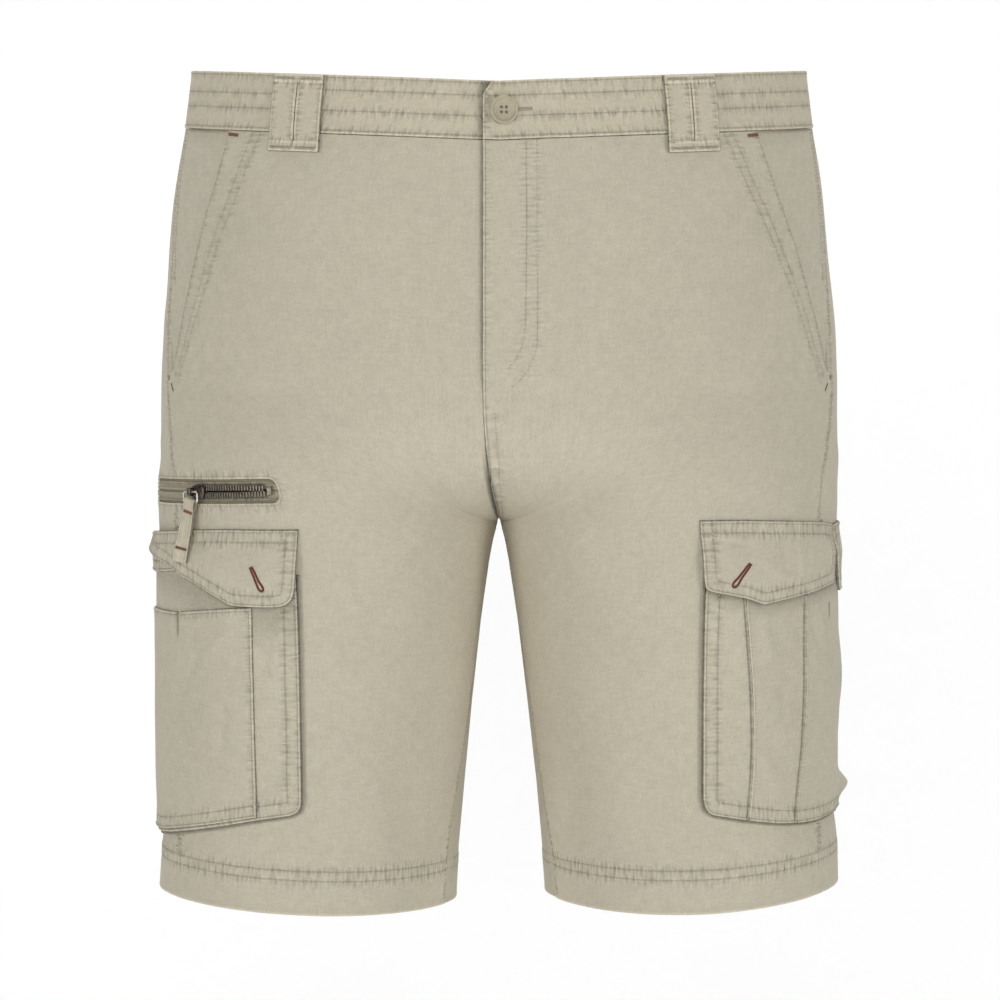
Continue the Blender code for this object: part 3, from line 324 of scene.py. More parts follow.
def way_of_x(level, x):
    """The way at a distance across the trunk's front, from the middle toward this half's side."""
    side = section_value("side_left", level)
    return -np.arccos(np.asarray(x, float) / side) * 2 / math.pi


# ---------------------------------------------------------------- sizes of the pieces, as in the solids

LAP_END, LAP_CORNER, UNDERLAP_END = -10.3, 5.0, 14.0
FLY_UNDER, FLY_LIFT_END, FLY_FOOT = -6.0, -192.0, -178.0
LAP_FLAT, LAP_EASE = 26.0, 52.0
BAND_OUT, BAND_LAP_LIFT, FLY_LIFT = 0.6, 3.0, 2.1
BAND_THICK, CLOTH_THICK, HEM_THICK, POCKET_THICK = 2.4, 1.2, 2.4, 1.1

SLANT_LEVELS = (-19.0, -58.0, -99.0, -139.0, -178.0)
SLANT_EDGES = {LEFT: (82.3, 71.0, 50.0, 29.0, 10.0), RIGHT: (71.8, 62.0, 44.3, 28.0, 10.0)}
SLANT_FOOT, BEARER_FOOT = -178.0, -190.0
BEARER_UNDER, BEARER_DROP, BEARER_SINK = 14.0, 2.4, 0.7
BEARER_TUCK = (-140.0, -172.0)

ZIP_HEIGHT, ZIP_WINDOW, ZIP_FRONT, ZIP_BACK, ZIP_FALL, ZIP_END = -254.3, 15.9, 98.4, -62.0, -6.0, -200.0
ZIP_CORNER = 5.7
TAPE_OUT, TAPE_THICK = -2.4, 0.9
CHAIN_OUT, TOOTH_LENGTH, TOOTH_PITCH, CHAIN_SLIT, CHAIN_END = -0.6, 3.6, 2.15, 0.55, 91.0
SLIDER_FORWARD, SLIDER_TOP, BRIDGE_OFFSET, PULL_HEIGHT = 37.0, 2.2, -5.0, 1.2
RING_WIRE, RING_WIDTH, RING_DROP, RING_CORNER = 1.2, 15.0, 7.0, 1.5
TAB_WIDTH, TAB_LENGTH, TAB_CLOTH, TAB_LAYER_GAP, TAB_EYE, TAB_LEAN = 10.4, 40.0, 0.8, 0.3, 1.0, -14.5
TAB_EYE_TOP, TAB_EYE_FOOT, TAB_EYE_TAPER = 0.9, 2.4, 3.0
TAB_END_FORWARD, TAB_END_HEIGHT, TAB_END_OUT = 22.0, -303.5, 8.8
TAB_BARS = (6.4, 30.8)
TAB_TWIST, TAB_LIFT, SLIDER_SHIFT = 24.0, 2.3, -2.5

Column = namedtuple("Column", "forward top foot")


def outline(*rows):
    """A pocket's or flap's outline: its top and foot at places forward of the side seam."""
    return tuple(Column(*row) for row in rows)


FLAP_RIGHT = outline(
    (106.5, -279.3, -318.0), (104.5, -279.4, -324.0), (99.5, -279.5, -328.4), (91.0, -279.7, -330.0),
    (76.0, -280.0, -330.2), (61.0, -280.3, -329.4), (49.5, -280.7, -324.6), (34.0, -281.5, -318.5),
    (18.0, -282.5, -312.4), (-2.0, -284.0, -305.7), (-25.0, -285.5, -302.6), (-50.0, -287.0, -300.4),
    (-66.0, -288.0, -299.0),
)
FLAP_RIGHT_BACK = outline(
    (14.0, -284.0, -308.5), (6.0, -284.4, -310.0), (-8.0, -285.2, -311.4), (-26.0, -286.2, -313.0),
    (-44.0, -287.2, -314.0), (-62.0, -288.0, -314.4), (-80.0, -288.6, -314.0), (-94.0, -289.0, -311.0),
)
FLAP_LEFT = outline(
    (106.3, -273.4, -316.0), (102.8, -273.4, -319.0), (90.0, -273.4, -321.8), (76.0, -273.6, -324.8),
    (63.6, -274.2, -328.7), (50.5, -274.8, -327.5), (37.0, -275.6, -325.9), (18.0, -276.8, -323.8),
    (-2.0, -278.2, -321.6), (-14.0, -279.6, -320.6), (-23.0, -280.8, -319.8),
)
FLAP_LEFT_BACK = outline(
    (-25.0, -281.2, -293.0), (-32.0, -281.0, -309.0), (-42.0, -280.8, -325.4), (-58.0, -281.2, -327.2),
    (-78.0, -281.8, -326.0), (-94.0, -282.4, -322.0),
)
POCKET_RIGHT = outline(
    (103.2, -309.0, -459.5), (101.4, -309.0, -465.0), (96.4, -309.0, -468.0), (86.0, -309.0, -470.2),
    (72.0, -309.0, -473.0), (52.0, -309.2, -477.8), (32.0, -310.5, -482.4), (14.0, -309.6, -486.4),
    (-4.0, -310.3, -490.0), (-22.0, -311.0, -492.6), (-40.0, -312.0, -494.0), (-58.0, -312.6, -494.4),
    (-76.0, -312.8, -493.4), (-88.0, -313.0, -490.6), (-95.0, -313.0, -484.6), (-97.0, -313.0, -476.0),
)
POCKET_LEFT = outline(
    (98.6, -306.0, -456.0), (97.2, -306.0, -463.0), (93.4, -306.0, -467.6), (84.0, -306.2, -470.0),
    (72.0, -306.5, -472.6), (58.0, -307.0, -475.4), (43.0, -307.4, -478.2), (24.0, -308.0, -480.4),
    (6.0, -308.6, -481.2), (-12.0, -309.2, -480.8), (-30.0, -309.8, -480.0), (-48.0, -310.4, -480.4),
    (-66.0, -311.0, -480.2), (-82.0, -311.4, -479.0), (-92.0, -311.6, -475.0), (-95.0, -311.6, -467.0),
)
PHONE_RIGHT = outline(
    (73.0, -330.6, -470.6), (58.0, -331.6, -474.0), (40.0, -333.6, -478.2), (22.0, -335.6, -482.2),
    (8.0, -337.0, -485.2), (-8.0, -337.6, -488.4), (-24.0, -338.0, -490.4), (-40.0, -338.6, -491.4),
    (-58.0, -339.2, -491.6), (-74.0, -339.6, -490.6), (-86.0, -339.8, -487.6),
)
POCKETS, FLAP_OVER_POCKET = {LEFT: POCKET_LEFT, RIGHT: POCKET_RIGHT}, {LEFT: FLAP_LEFT, RIGHT: FLAP_RIGHT}
FLAP_LEAN, POCKET_LEAN = 0.045, 0.035
LAYER_GAP = 0.8
GUSSET_OUTSIDE, GUSSET_INSIDE, GUSSET_CLOTH = 1.9, 9.0, 1.1
POCKET_CLOTH = 1.2
POCKET_OUT = LAYER_GAP + GUSSET_CLOTH + 0.5
POCKET_BULGE = 1.6
PHONE_OUT = POCKET_OUT + POCKET_CLOTH + 0.5
FLAP_FOOT_OUT = POCKET_OUT + 2 * POCKET_CLOTH + 1.3
FLAP_OVER = -303.0
RIGHT_BACK_FLAP_OUT, BACK_FLAP_LIFT = 5.9, 2.4
# how far below each flap its painted shadow reaches
FLAP_SHADE = {LEFT: 13.0, RIGHT: 34.0}
KICK_FORWARD, KICK_HEIGHT, KICK_OUT, KICK_WIDTH, KICK_DEPTH, KICK_UNDER = -54.0, -462.0, 7.0, 20.0, 8.0, 0.8

LoopPair = namedtuple("LoopPair", "name half middle_way")
LOOP_PAIRS = (
    LoopPair("right_front", RIGHT, -0.585),
    LoopPair("left_front", LEFT, -0.608),
    LoopPair("right_back", RIGHT, 0.46),
    LoopPair("left_back", LEFT, 0.46),
    LoopPair("centre_back", LEFT, 1.0),
)
LOOP_WIDTH, LOOP_SLIT, LOOP_CLOTH = 17.6, 0.8, 1.4
LOOP_TOP_BAR, LOOP_FOOT_BAR, LOOP_BAR_WIDER = 13.2, -24.4, 0.3
LOOP_ROWS = ((18.5, 1.3), (12.0, 2.1), (0.0, 2.8), (-14.0, 2.8), (-24.0, 1.8), (-31.5, 0.8))

BUTTON_X, BUTTON_ACROSS, BUTTON_THICK, BUTTON_GAP, BUTTON_TURN = 2.6, 18.6, 3.0, 1.4, 14.0
BUTTON_HOLE, BUTTON_HOLE_SPACING = 2.1, 3.2

# Sewing
STITCH_GAP = 0.7
STITCH_LIFT, TACK_LIFT, STITCH_ARCH = 0.04, 0.10, 0.45
RAY_START, RAY_REACH = 16.0, 26.0
HEM_FOLD_LIFT, CROTCH_SINK = 0.35, 3.0
SEAM_LAP, LAP_DROP = 3.0, 1.35
HEM_ROWS = (-505.0, -511.2)
BAND_ROWS = (17.3, -4.0, -16.6)
BAND_STEP_FORWARD, BAND_STEP_ROWS = 141.0, (9.2, 5.5)
SLANT_ROWS = (((-19.0, 22.0), (-100.0, 15.4), (-186.0, 9.0)), ((-19.0, 28.5), (-100.0, 21.8), (-186.0, 15.0)))
FLY_ROWS = (
    ((17.3, -19.5), (17.5, -60.0), (17.4, -110.0), (16.6, -146.0), (14.4, -160.0), (10.6, -169.0),
     (5.2, -175.0)),
    ((24.0, -19.5), (24.1, -60.0), (24.3, -110.0), (24.1, -156.0), (22.4, -166.0), (19.9, -172.5),
     (13.5, -182.0), (7.1, -187.0)),
)


# ---------------------------------------------------------------- cloth

# the last mark is painted shade, and painted light where it is below 0
Marks = namedtuple("Marks", "edge seam pucker_u pucker_v kept")
# the second value is how far from an edge its painted shadow line reaches
NO_MARK, EDGE_SHADOW = 12.0, 0.6


def spline(points, step):
    """A smooth path through points, resampled at an even step. Points may have any number of columns."""
    points = np.array(points, float)
    if len(points) > 2:
        before = np.vstack([2 * points[0] - points[1], points, 2 * points[-1] - points[-2]])
        fine = []
        for k in range(1, len(before) - 2):
            p0, p1, p2, p3 = before[k - 1:k + 3]
            for t in np.linspace(0, 1, 12, endpoint=False):
                fine.append(0.5 * (2 * p1 + (p2 - p0) * t + (2 * p0 - 5 * p1 + 4 * p2 - p3) * t * t
                                   + (3 * p1 - p0 - 3 * p2 + p3) * t**3))
        points = np.vstack([fine, points[-1]])
    lengths = np.concatenate([[0.0], np.cumsum(np.linalg.norm(np.diff(points, axis=0), axis=1))])
    count = max(1, int(round(lengths[-1] / step)))
    return np.stack([np.interp(np.linspace(0, lengths[-1], count + 1), lengths, c) for c in points.T], axis=1)


def nearest(flat, path):
    """How far each place is from a path, and which way the path runs there."""
    gap = np.full(flat.shape[:-1], 1e9)
    run = np.zeros(flat.shape)
    for start, end in zip(path, path[1:]):
        step = end - start
        length = max(1e-9, math.hypot(*step))
        share = np.clip(((flat - start) @ step) / length**2, 0.0, 1.0)
        reach = np.linalg.norm(flat - start - share[..., None] * step, axis=-1)
        closer = reach < gap
        gap = np.where(closer, reach, gap)
        run[closer] = step / length
    return gap, run


def mark(flat, edges=(), rows=(), reach=3.6, free=()):
    """Where a piece's folded edges, rows of stitches and puckers lie. Edges get a painted shadow line beside
    them; free edges lap over nothing and get none.
    """
    shape = flat.shape[:-1]
    edge, seam = np.full(shape, NO_MARK), np.full(shape, NO_MARK)
    pucker_u, pucker_v = np.zeros(shape), np.zeros(shape)
    for path in edges:
        edge = np.minimum(edge, nearest(flat, np.asarray(path, float))[0])
    for path in free:
        edge = np.minimum(edge, np.maximum(EDGE_SHADOW, nearest(flat, np.asarray(path, float))[0]))
    for path in rows:
        gap, run = nearest(flat, np.asarray(path, float))
        seam = np.minimum(seam, gap)
        strength = np.exp(-(gap / reach) ** 2)
        pucker_u = np.maximum(pucker_u, strength * run[..., 0] ** 2)
        pucker_v = np.maximum(pucker_v, strength * run[..., 1] ** 2)
    return Marks(edge, seam, pucker_u, pucker_v, np.zeros(shape))


def ripple(place, other, seed):
    """Uneven waves along a seam, from -1 to 1, which change slowly across it."""
    slow = np.sin(place / 31.0 + seed) * np.sin(other / 19.0 + 2 * seed)
    wave = np.sin(place / 0.98 + 1.2 * np.sin(place / 9.7 + seed) + slow)
    wave += 0.7 * np.sin(place / 1.43 + 2.3 * seed + 0.6 * np.sin(place / 14.0))
    return 0.5 * wave * (0.65 + 0.35 * np.sin(place / 17.0 + 3.1 * seed))


def relief(flat, marks, seed=0.0, rolled=0.45, puff=0.25, waves=0.2):
    """How far a piece's sewing moves its outer face: rolled edges, sunk rows, puckers between."""
    u, v = flat[..., 0], flat[..., 1]
    lift = -rolled * np.exp(-(marks.edge / 0.5) ** 2)
    lift += puff * np.exp(-((marks.edge - 1.2) / 0.8) ** 2)
    lift -= 0.24 * np.exp(-(marks.seam / 0.8) ** 2)
    lift += waves * (marks.pucker_u * ripple(u, v, seed) + marks.pucker_v * ripple(v, u, seed + 1.7))
    return lift


def ridges(flat, lines):
    """How far a piece's own creases lift it. Each fades at both ends and bows a little."""
    lift = np.zeros(flat.shape[:-1])
    for *ends, width, proud in lines:
        start, step = np.array(ends[:2]), np.subtract(ends[2:], ends[:2])
        share = np.clip(((flat - start) @ step) / (step @ step), 0.0, 1.0)
        off = flat - start - share[..., None] * step
        across = off @ (np.array([-step[1], step[0]]) / math.hypot(*step))
        across = across - 0.6 * width * np.sin(math.pi * share)
        near = np.linalg.norm(off, axis=-1) < 60
        lift += 1.5 * proud * np.sin(math.pi * share) ** 0.8 * np.exp(-(across / width) ** 2) * near
    return lift


def finish_mesh(name, points, faces, smooth, flat=None, marks=None):
    """A mesh object from points in millimetres, with its cloth map and its marks."""
    mesh = bpy.data.meshes.new(name)
    mesh.from_pydata((np.asarray(points) * MM).tolist(), [], faces)
    mesh.polygons.foreach_set("use_smooth", smooth)
    if flat is not None:
        layer = mesh.uv_layers.new(name="cloth")
        corners = np.zeros(len(mesh.loops), int)
        mesh.loops.foreach_get("vertex_index", corners)
        layer.data.foreach_set("uv", (flat[corners] * MM).ravel())
    for field, values in (marks or {}).items():
        attribute = mesh.attributes.new(field, "FLOAT", "POINT")
        attribute.data.foreach_set("value", values.astype(np.float32))
    mesh.update()
    piece = bpy.data.objects.new(name, mesh)
    bpy.context.scene.collection.objects.link(piece)
    return piece


TREES = {}


def shell(node, half, flat, out, thick, marks, keep=None):
    """A node's cloth: a thin closed wall over a grid of places. Cells outside keep are left open."""
    level = flat[..., 1]
    way = way_at(half, level, flat[..., 0])
    base = plain_point(half, level, way)
    outward = out_of(half, level, way)
    lift = crease_height(half, level, way) + out
    outer = base + outward * lift[..., None]
    inner = base + outward * (lift - thick)[..., None]
    rows, columns = level.shape
    keep = np.ones((rows - 1, columns - 1), bool) if keep is None else keep
    index = np.arange(rows * columns).reshape(rows, columns)
    a, b, c, d = index[:-1, :-1], index[1:, :-1], index[1:, 1:], index[:-1, 1:]
    quads = np.stack([a, b, c, d], axis=-1)[keep]
    padded = np.pad(keep, 1)
    ends = []
    for beyond, start, end in (
        (padded[:-2, 1:-1], d, a), (padded[2:, 1:-1], b, c),
        (padded[1:-1, :-2], a, b), (padded[1:-1, 2:], c, d),
    ):
        open_side = keep & ~beyond
        ends.append(np.stack([start[open_side], end[open_side]], axis=-1))
    ends = np.concatenate(ends)
    used = np.unique(quads)
    number = np.full(rows * columns, -1)
    number[used] = np.arange(len(used))
    quads, ends, count = number[quads], number[ends], len(used)
    points = np.concatenate([outer.reshape(-1, 3)[used], inner.reshape(-1, 3)[used]])
    corner = points[quads[len(quads) // 2]]
    facing = np.cross(corner[1] - corner[0], corner[2] - corner[0])
    turned = facing @ outward.reshape(-1, 3)[used][quads[len(quads) // 2][0]] < 0
    rims = np.stack([ends[:, 1], ends[:, 0], ends[:, 0] + count, ends[:, 1] + count], axis=-1)
    faces = np.concatenate([quads, quads[:, ::-1] + count, rims])
    if turned:
        faces = faces[:, ::-1]
    smooth = np.ones(len(faces), bool)
    smooth[2 * len(quads):] = False
    places = flat.reshape(-1, 2)[used]
    fields = {field: np.tile(values.reshape(-1)[used], 2) for field, values in marks._asdict().items()}
    TREES[node] = BVHTree.FromPolygons(points[:count].tolist(), quads.tolist())
    return finish_mesh(node + "_cloth", points, faces.tolist(), smooth, np.tile(places, (2, 1)), fields)


def edge_steps(length, fine=(0.45, 1.1, 2.0), step=2.6, both=True):
    """Shares along a length, fine at its start, or at both its ends, and even between."""
    head = [0.0, *fine]
    tail = [length - place for place in reversed(head)] if both else [length]
    count = max(1, int(round((tail[0] - head[-1]) / step)))
    middle = np.linspace(head[-1], tail[0], count + 1)[1:-1]
    return np.concatenate([head, middle, tail]) / length


def stepped(length, lines, step):
    """Places along a length: fine at both ends and at each line, with no gap wider than a step."""
    known = {0.0, 0.5, 1.1, length - 1.1, length - 0.5, length}
    for line in lines:
        known |= {line - 0.6, line, line + 0.6}
    known = sorted(known)
    places = [known[0]]
    for place in known[1:]:
        if place - places[-1] < 0.3:
            continue
        count = max(1, math.ceil((place - places[-1]) / step - 0.2))
        places += list(np.linspace(places[-1], place, count + 1)[1:])
    places[-1] = length
    return np.array(places)


def wear(piece, body, finish, node):
    """Give a finished piece its material and its body, and hide the imported part of the node that it stands
    for.
    """
    piece.data.materials.append(finish_named(finish))
    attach(piece, body)
    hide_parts(node)


CLOTH_FINISH = {"canvas": "washed_canvas", "canvas_shade": "washed_canvas_doubled", "tape": "zip_tape"}


def dress(node, half, flat, out, thick, marks, slot="canvas", keep=None):
    """Make a node's cloth, in the finish set for its slot."""
    piece = shell(node, half, flat, out, thick, marks, keep)
    wear(piece, "shorts", CLOTH_FINISH[slot], node)


def node_of(kind, half):
    """The name of a kind's node on the wearer's left or right."""
    return kind + ("_left" if half == LEFT else "_right")


def level_row(places, level):
    """A row of places along one level."""
    return np.stack([places, np.full(len(places), level)], axis=1)


def left_of(path):
    """The unit way toward the left-hand side of a path, at each of its places."""
    run = np.gradient(path, axis=0)
    run /= np.linalg.norm(run, axis=1, keepdims=True)
    return np.stack([-run[:, 1], run[:, 0]], axis=1)


def face_outward(piece):
    """Turn a closed mesh's faces outward."""
    work = bmesh.new()
    work.from_mesh(piece.data)
    bmesh.ops.recalc_face_normals(work, faces=work.faces)
    work.to_mesh(piece.data)
    work.free()


# ---------------------------------------------------------------- materials

def channels(hex_colour):
    """A hex sRGB colour's red, green and blue, each from 0 to 1."""
    return [int(hex_colour[k:k + 2], 16) / 255 for k in (1, 3, 5)]


def linear(hex_colour):
    """A hex sRGB colour as linear red, green and blue."""
    return [v / 12.92 if v <= 0.04045 else ((v + 0.055) / 1.055) ** 2.4 for v in channels(hex_colour)]


def add(tree, kind, inputs=None, **settings):
    """Add a node with its settings. An input is a value or another node's output."""
    node = tree.nodes.new(kind)
    for name, value in settings.items():
        setattr(node, name, value)
    for place, value in (inputs or {}).items():
        if isinstance(value, bpy.types.NodeSocket):
            tree.links.new(value, node.inputs[place])
        else:
            node.inputs[place].default_value = value
    return node


def new_material(name):
    """An empty material's tree, shader and object."""
    material = bpy.data.materials.new(name)
    material.use_nodes = True
    tree = material.node_tree
    return material, tree, tree.nodes["Principled BSDF"]


def scaled_colour(tree, colour, share):
    """A colour made lighter or darker by a changing share."""
    made = add(tree, "ShaderNodeVectorMath", {0: colour, "Scale": share}, operation="SCALE")
    return made.outputs[0]


def sum_of(tree, start, terms):
    """start plus each value times its weight."""
    total = start
    for value, weight, middle in terms:
        moved = add(tree, "ShaderNodeMath", {0: value, 1: middle}, operation="SUBTRACT").outputs[0]
        parts = {0: moved, 1: weight, 2: total}
        total = add(tree, "ShaderNodeMath", parts, operation="MULTIPLY_ADD").outputs[0]
    return total


def canvas(name, colour, depth=1.0):
    """Cotton canvas, plain woven, garment washed: matt, mottled, with a fine broken grain. Washing leaves
    the folded edges paler and the sunk rows of stitches darker. The puckers' ridges are paler and their troughs
    darker, partly from washing and partly as painted light and shade. Painted shadow darkens a thin line along
    edges that lap over other cloth, and a further mark paints shade under flaps and laps, in grooves and in the
    crotch gap, and paints light on the inner thighs."""
    material, tree, shader = new_material(name)
    cloth = add(tree, "ShaderNodeUVMap", uv_map="cloth").outputs[0]
    long_u = add(tree, "ShaderNodeMapping", {"Vector": cloth, "Scale": (0.28, 1.0, 1.0)}).outputs[0]
    long_v = add(tree, "ShaderNodeMapping", {"Vector": cloth, "Scale": (1.0, 0.28, 1.0)}).outputs[0]

    def noise(where, size_mm, detail, rough=0.55):
        settings = {"Vector": where, "Scale": 1000 / size_mm, "Detail": detail, "Roughness": rough}
        return add(tree, "ShaderNodeTexNoise", settings, noise_dimensions="2D").outputs["Fac"]

    cloud = noise(cloth, 60.0, 2.0)
    mottle = noise(cloth, 9.0, 3.0, 0.65)
    # Threads lie 0.4 mm apart, too fine to show, so the grain is drawn 1.3 mm wide and the slubs 2 mm.
    grain = noise(cloth, 1.3, 2.0, 0.7)
    warp, weft = noise(long_v, 2.0, 1.0), noise(long_u, 2.2, 1.0)
    along_u, along_v = noise(long_v, 2.4, 0.0), noise(long_u, 2.4, 0.0)
    fields = {}
    for field in Marks._fields:
        fields[field] = add(tree, "ShaderNodeAttribute", attribute_name=field).outputs["Fac"]

    def near(field, full, none):
        settings = {"Value": fields[field], "From Min": full, "From Max": none, "To Min": 1.0, "To Max": 0.0}
        return add(tree, "ShaderNodeMapRange", settings, interpolation_type="SMOOTHSTEP").outputs[0]

    waves = []
    for wave, strength in ((along_u, fields["pucker_u"]), (along_v, fields["pucker_v"])):
        centred = add(tree, "ShaderNodeMath", {0: wave, 1: 0.5}, operation="SUBTRACT").outputs[0]
        waves.append(add(tree, "ShaderNodeMath", {0: centred, 1: strength}, operation="MULTIPLY").outputs[0])
    pucker = add(tree, "ShaderNodeMath", {0: waves[0], 1: waves[1]}, operation="ADD").outputs[0]
    # rim: the worn paler rim of a folded edge; under: a painted shadow line along an edge that laps over other
    # cloth; sunk: darker rows of stitches, and painted shade in the grooves that are marked like them
    rim, under, sunk = near("edge", 0.9, 1.7), near("edge", 0.1, EDGE_SHADOW), near("seam", 0.1, 0.8)
    # the pucker term paints light on ridges and shade in troughs as well as the washing's wear; the last term
    # is painted shade, and painted light where it is below 0
    share = sum_of(tree, 1.0, (
        (cloud, 0.08, 0.5), (mottle, 0.16, 0.5), (grain, 0.30, 0.5), (warp, 0.12, 0.5), (weft, 0.12, 0.5),
        (pucker, 0.38, 0.0), (rim, 0.20, 0.0), (under, -0.75, 0.0), (sunk, -0.24, 0.0),
        (fields["kept"], -0.30, 0.0),
    ))
    tree.links.new(scaled_colour(tree, linear(colour), share), shader.inputs["Base Color"])
    shader.inputs["Roughness"].default_value = 0.92
    shader.inputs["Specular IOR Level"].default_value = 0.25
    shader.inputs["Sheen Weight"].default_value = 0.08
    shader.inputs["Sheen Roughness"].default_value = 0.6
    weave = sum_of(tree, 0.0, ((grain, 0.5, 0.5), (warp, 0.35, 0.5), (weft, 0.35, 0.5)))
    fine = {"Height": weave, "Distance": 0.00035 * depth, "Strength": 0.8}
    fine = add(tree, "ShaderNodeBump", fine).outputs[0]
    folds = sum_of(tree, 0.0, ((pucker, 1.0, 0.0), (mottle, 0.05, 0.5)))
    coarse = {"Height": folds, "Distance": 0.0027 * depth, "Normal": fine}
    tree.links.new(add(tree, "ShaderNodeBump", coarse).outputs[0], shader.inputs["Normal"])
    return material


def grained(name, colour, grain, uneven, rough, rough_uneven=0.0, bump=0.0, metallic=0.0):
    """A material whose colour, gloss and height one noise varies. Grain is that noise's scale and detail."""
    material, tree, shader = new_material(name)
    place = add(tree, "ShaderNodeTexCoord").outputs["Object"]
    settings = {"Vector": place, "Scale": grain[0], "Detail": grain[1]}
    noise = add(tree, "ShaderNodeTexNoise", settings).outputs["Fac"]
    share = sum_of(tree, 1.0, ((noise, uneven, 0.5),))
    tree.links.new(scaled_colour(tree, linear(colour), share), shader.inputs["Base Color"])
    shader.inputs["Metallic"].default_value = metallic
    shader.inputs["Roughness"].default_value = rough
    if rough_uneven:
        tree.links.new(sum_of(tree, rough, ((noise, rough_uneven, 0.5),)), shader.inputs["Roughness"])
    if bump:
        raised = add(tree, "ShaderNodeBump", {"Height": noise, "Distance": bump}).outputs[0]
        tree.links.new(raised, shader.inputs["Normal"])
    return material


def painted_wall(name, colour):
    """Matt painted board of the studio sweep: plain, with the faintest roller texture, clear from behind."""
    material = grained(name, colour, (60.0, 2.0), 0.01, 0.9)
    tree = material.node_tree
    behind = add(tree, "ShaderNodeNewGeometry").outputs["Backfacing"]
    seen = sum_of(tree, 1.0, ((behind, -1.0, 0.0),))
    tree.links.new(seen, tree.nodes["Principled BSDF"].inputs["Alpha"])
    return material


THREAD = {"grain": (900.0, 1.0), "uneven": 0.5, "rough": 0.75, "bump": 0.0001}
METAL = {"grain": (700.0, 3.0), "uneven": 2.2, "rough_uneven": 0.35, "bump": 0.00008, "metallic": 1.0}
RESIN = {"grain": (260.0, 3.0), "uneven": 0.35, "rough": 0.42, "bump": 0.00004}

# For each finish: the name of its colour, what makes it, and how.
FINISHES = {
    # washed cotton canvas, single and doubled, and the finer weave of the tapes
    "washed_canvas": ("canvas", canvas, {}),
    "washed_canvas_doubled": ("doubled", canvas, {}),
    "zip_tape": ("tape", canvas, {"depth": 0.6}),
    "pull_cloth": ("pull", canvas, {"depth": 0.7}),
    # spun polyester sewing thread: a slight satin, twisted, a touch uneven in colour
    "spun_thread": ("thread", grained, THREAD),
    "tack_thread": ("tack", grained, THREAD),
    "buttonhole_thread": ("hole", grained, THREAD),
    # zinc alloy, die cast, plated black nickel and tumbled: dark, with worn paler high spots
    "black_nickel": ("metal", grained, {**METAL, "rough": 0.32}),
    "nickel_wire": ("wire", grained, {**METAL, "rough": 0.5}),
    "rubbed_nickel": ("teeth", grained, {**METAL, "rough": 0.45}),
    # cast polyester resin, turned and tumbled: satin, faintly clouded
    "cast_resin": ("button", grained, RESIN),
}
MATERIALS = {}


def finish_named(name):
    """One of the shorts' materials, made when it is first asked for."""
    if name not in MATERIALS:
        colour, maker, settings = FINISHES[name]
        MATERIALS[name] = maker(name, to_hex(getattr(bpy.context.scene.shorts_colours, colour)), **settings)
    return MATERIALS[name]


def to_hex(colour):
    """A colour property, which holds sRGB values, as a hex string."""
    return "#" + "".join(f"{round(255 * channel):02X}" for channel in colour)


# ---------------------------------------------------------------- stitches

def on_cloth(nodes, half, places, lift):
    """Points on the outer face of some nodes' cloth, the ways out there, and which of them were found."""
    places = np.asarray(places, float)
    way = way_at(half, places[:, 1], places[:, 0])
    outward = out_of(half, places[:, 1], way)
    far = skin(half, places[:, 1], way, np.full(len(places), RAY_START))
    points, found = far.copy(), np.zeros(len(places), bool)
    for k in range(len(places)):
        for node in nodes:
            spot = TREES[node].ray_cast(Vector(far[k]), Vector(-outward[k]), RAY_REACH)[0]
            if spot is not None:
                points[k] = np.array(spot) + outward[k] * lift
                found[k] = True
                break
    return points, outward, found


def stitch_mesh(name, starts, ends, outward, width, finish, slot, body="shorts", place=None):
    """One object of many stitches: each a slim lozenge of thread that arches a little over the cloth."""
    axis = ends - starts
    across = np.cross(axis, outward)
    across /= np.linalg.norm(across, axis=1, keepdims=True)
    half = width / 2
    rings = [starts - outward * half]
    for share in (0.22, 0.78):
        centre = starts + axis * share + outward * half * STITCH_ARCH
        for side, up in ((1, 0), (0, 1), (-1, 0), (0, -1)):
            rings.append(centre + across * half * side + outward * half * up)
    rings.append(ends - outward * half)
    points = np.stack(rings, axis=1)
    faces = [(0, 1 + k, 1 + (k + 1) % 4) for k in range(4)]
    faces += [(1 + k, 5 + k, 5 + (k + 1) % 4, 1 + (k + 1) % 4) for k in range(4)]
    faces += [(9, 5 + (k + 1) % 4, 5 + k) for k in range(4)]
    size = points.shape[1]
    every = [tuple(size * n + k for k in face) for n in range(len(points)) for face in faces]
    piece = finish_mesh(name, points.reshape(-1, 3), every, np.ones(len(every), bool))
    face_outward(piece)
    if place is not None:
        piece.data.transform(place)
    piece.data.materials.append(finish_named(finish))
    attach(piece, body)


def sew(node, half, rows, slot="canvas"):
    """Rows of topstitching over a node's cloth, as one object."""
    settings = bpy.context.scene.shorts_sewing
    width, length = settings.thread_width * 1000, settings.stitch_length * 1000
    starts, ends, outwards = [], [], []
    for row in rows:
        path = spline(row, 0.5)
        way = way_at(half, path[:, 1], path[:, 0])
        real = skin(half, path[:, 1], way, np.zeros(len(path)))
        run = np.concatenate([[0.0], np.cumsum(np.linalg.norm(np.diff(real, axis=0), axis=1))])
        begin = np.arange(0.4, run[-1] - length, length + STITCH_GAP)
        if not len(begin):
            continue
        both = []
        for distance in (begin, begin + length):
            place = np.stack([np.interp(distance, run, column) for column in path.T], axis=1)
            both.append(on_cloth([node], half, place, STITCH_LIFT))
        (start, outward, found), (end, _, end_found) = both
        good = found & end_found & (np.linalg.norm(start - end, axis=1) < length * 1.6)
        starts.append(start[good])
        ends.append(end[good])
        outwards.append(outward[good])
    stitches = (np.concatenate(side) for side in (starts, ends, outwards))
    stitch_mesh(node + "_topstitch", *stitches, width, "spun_thread", slot)


Tack = namedtuple("Tack", "half start end width over")


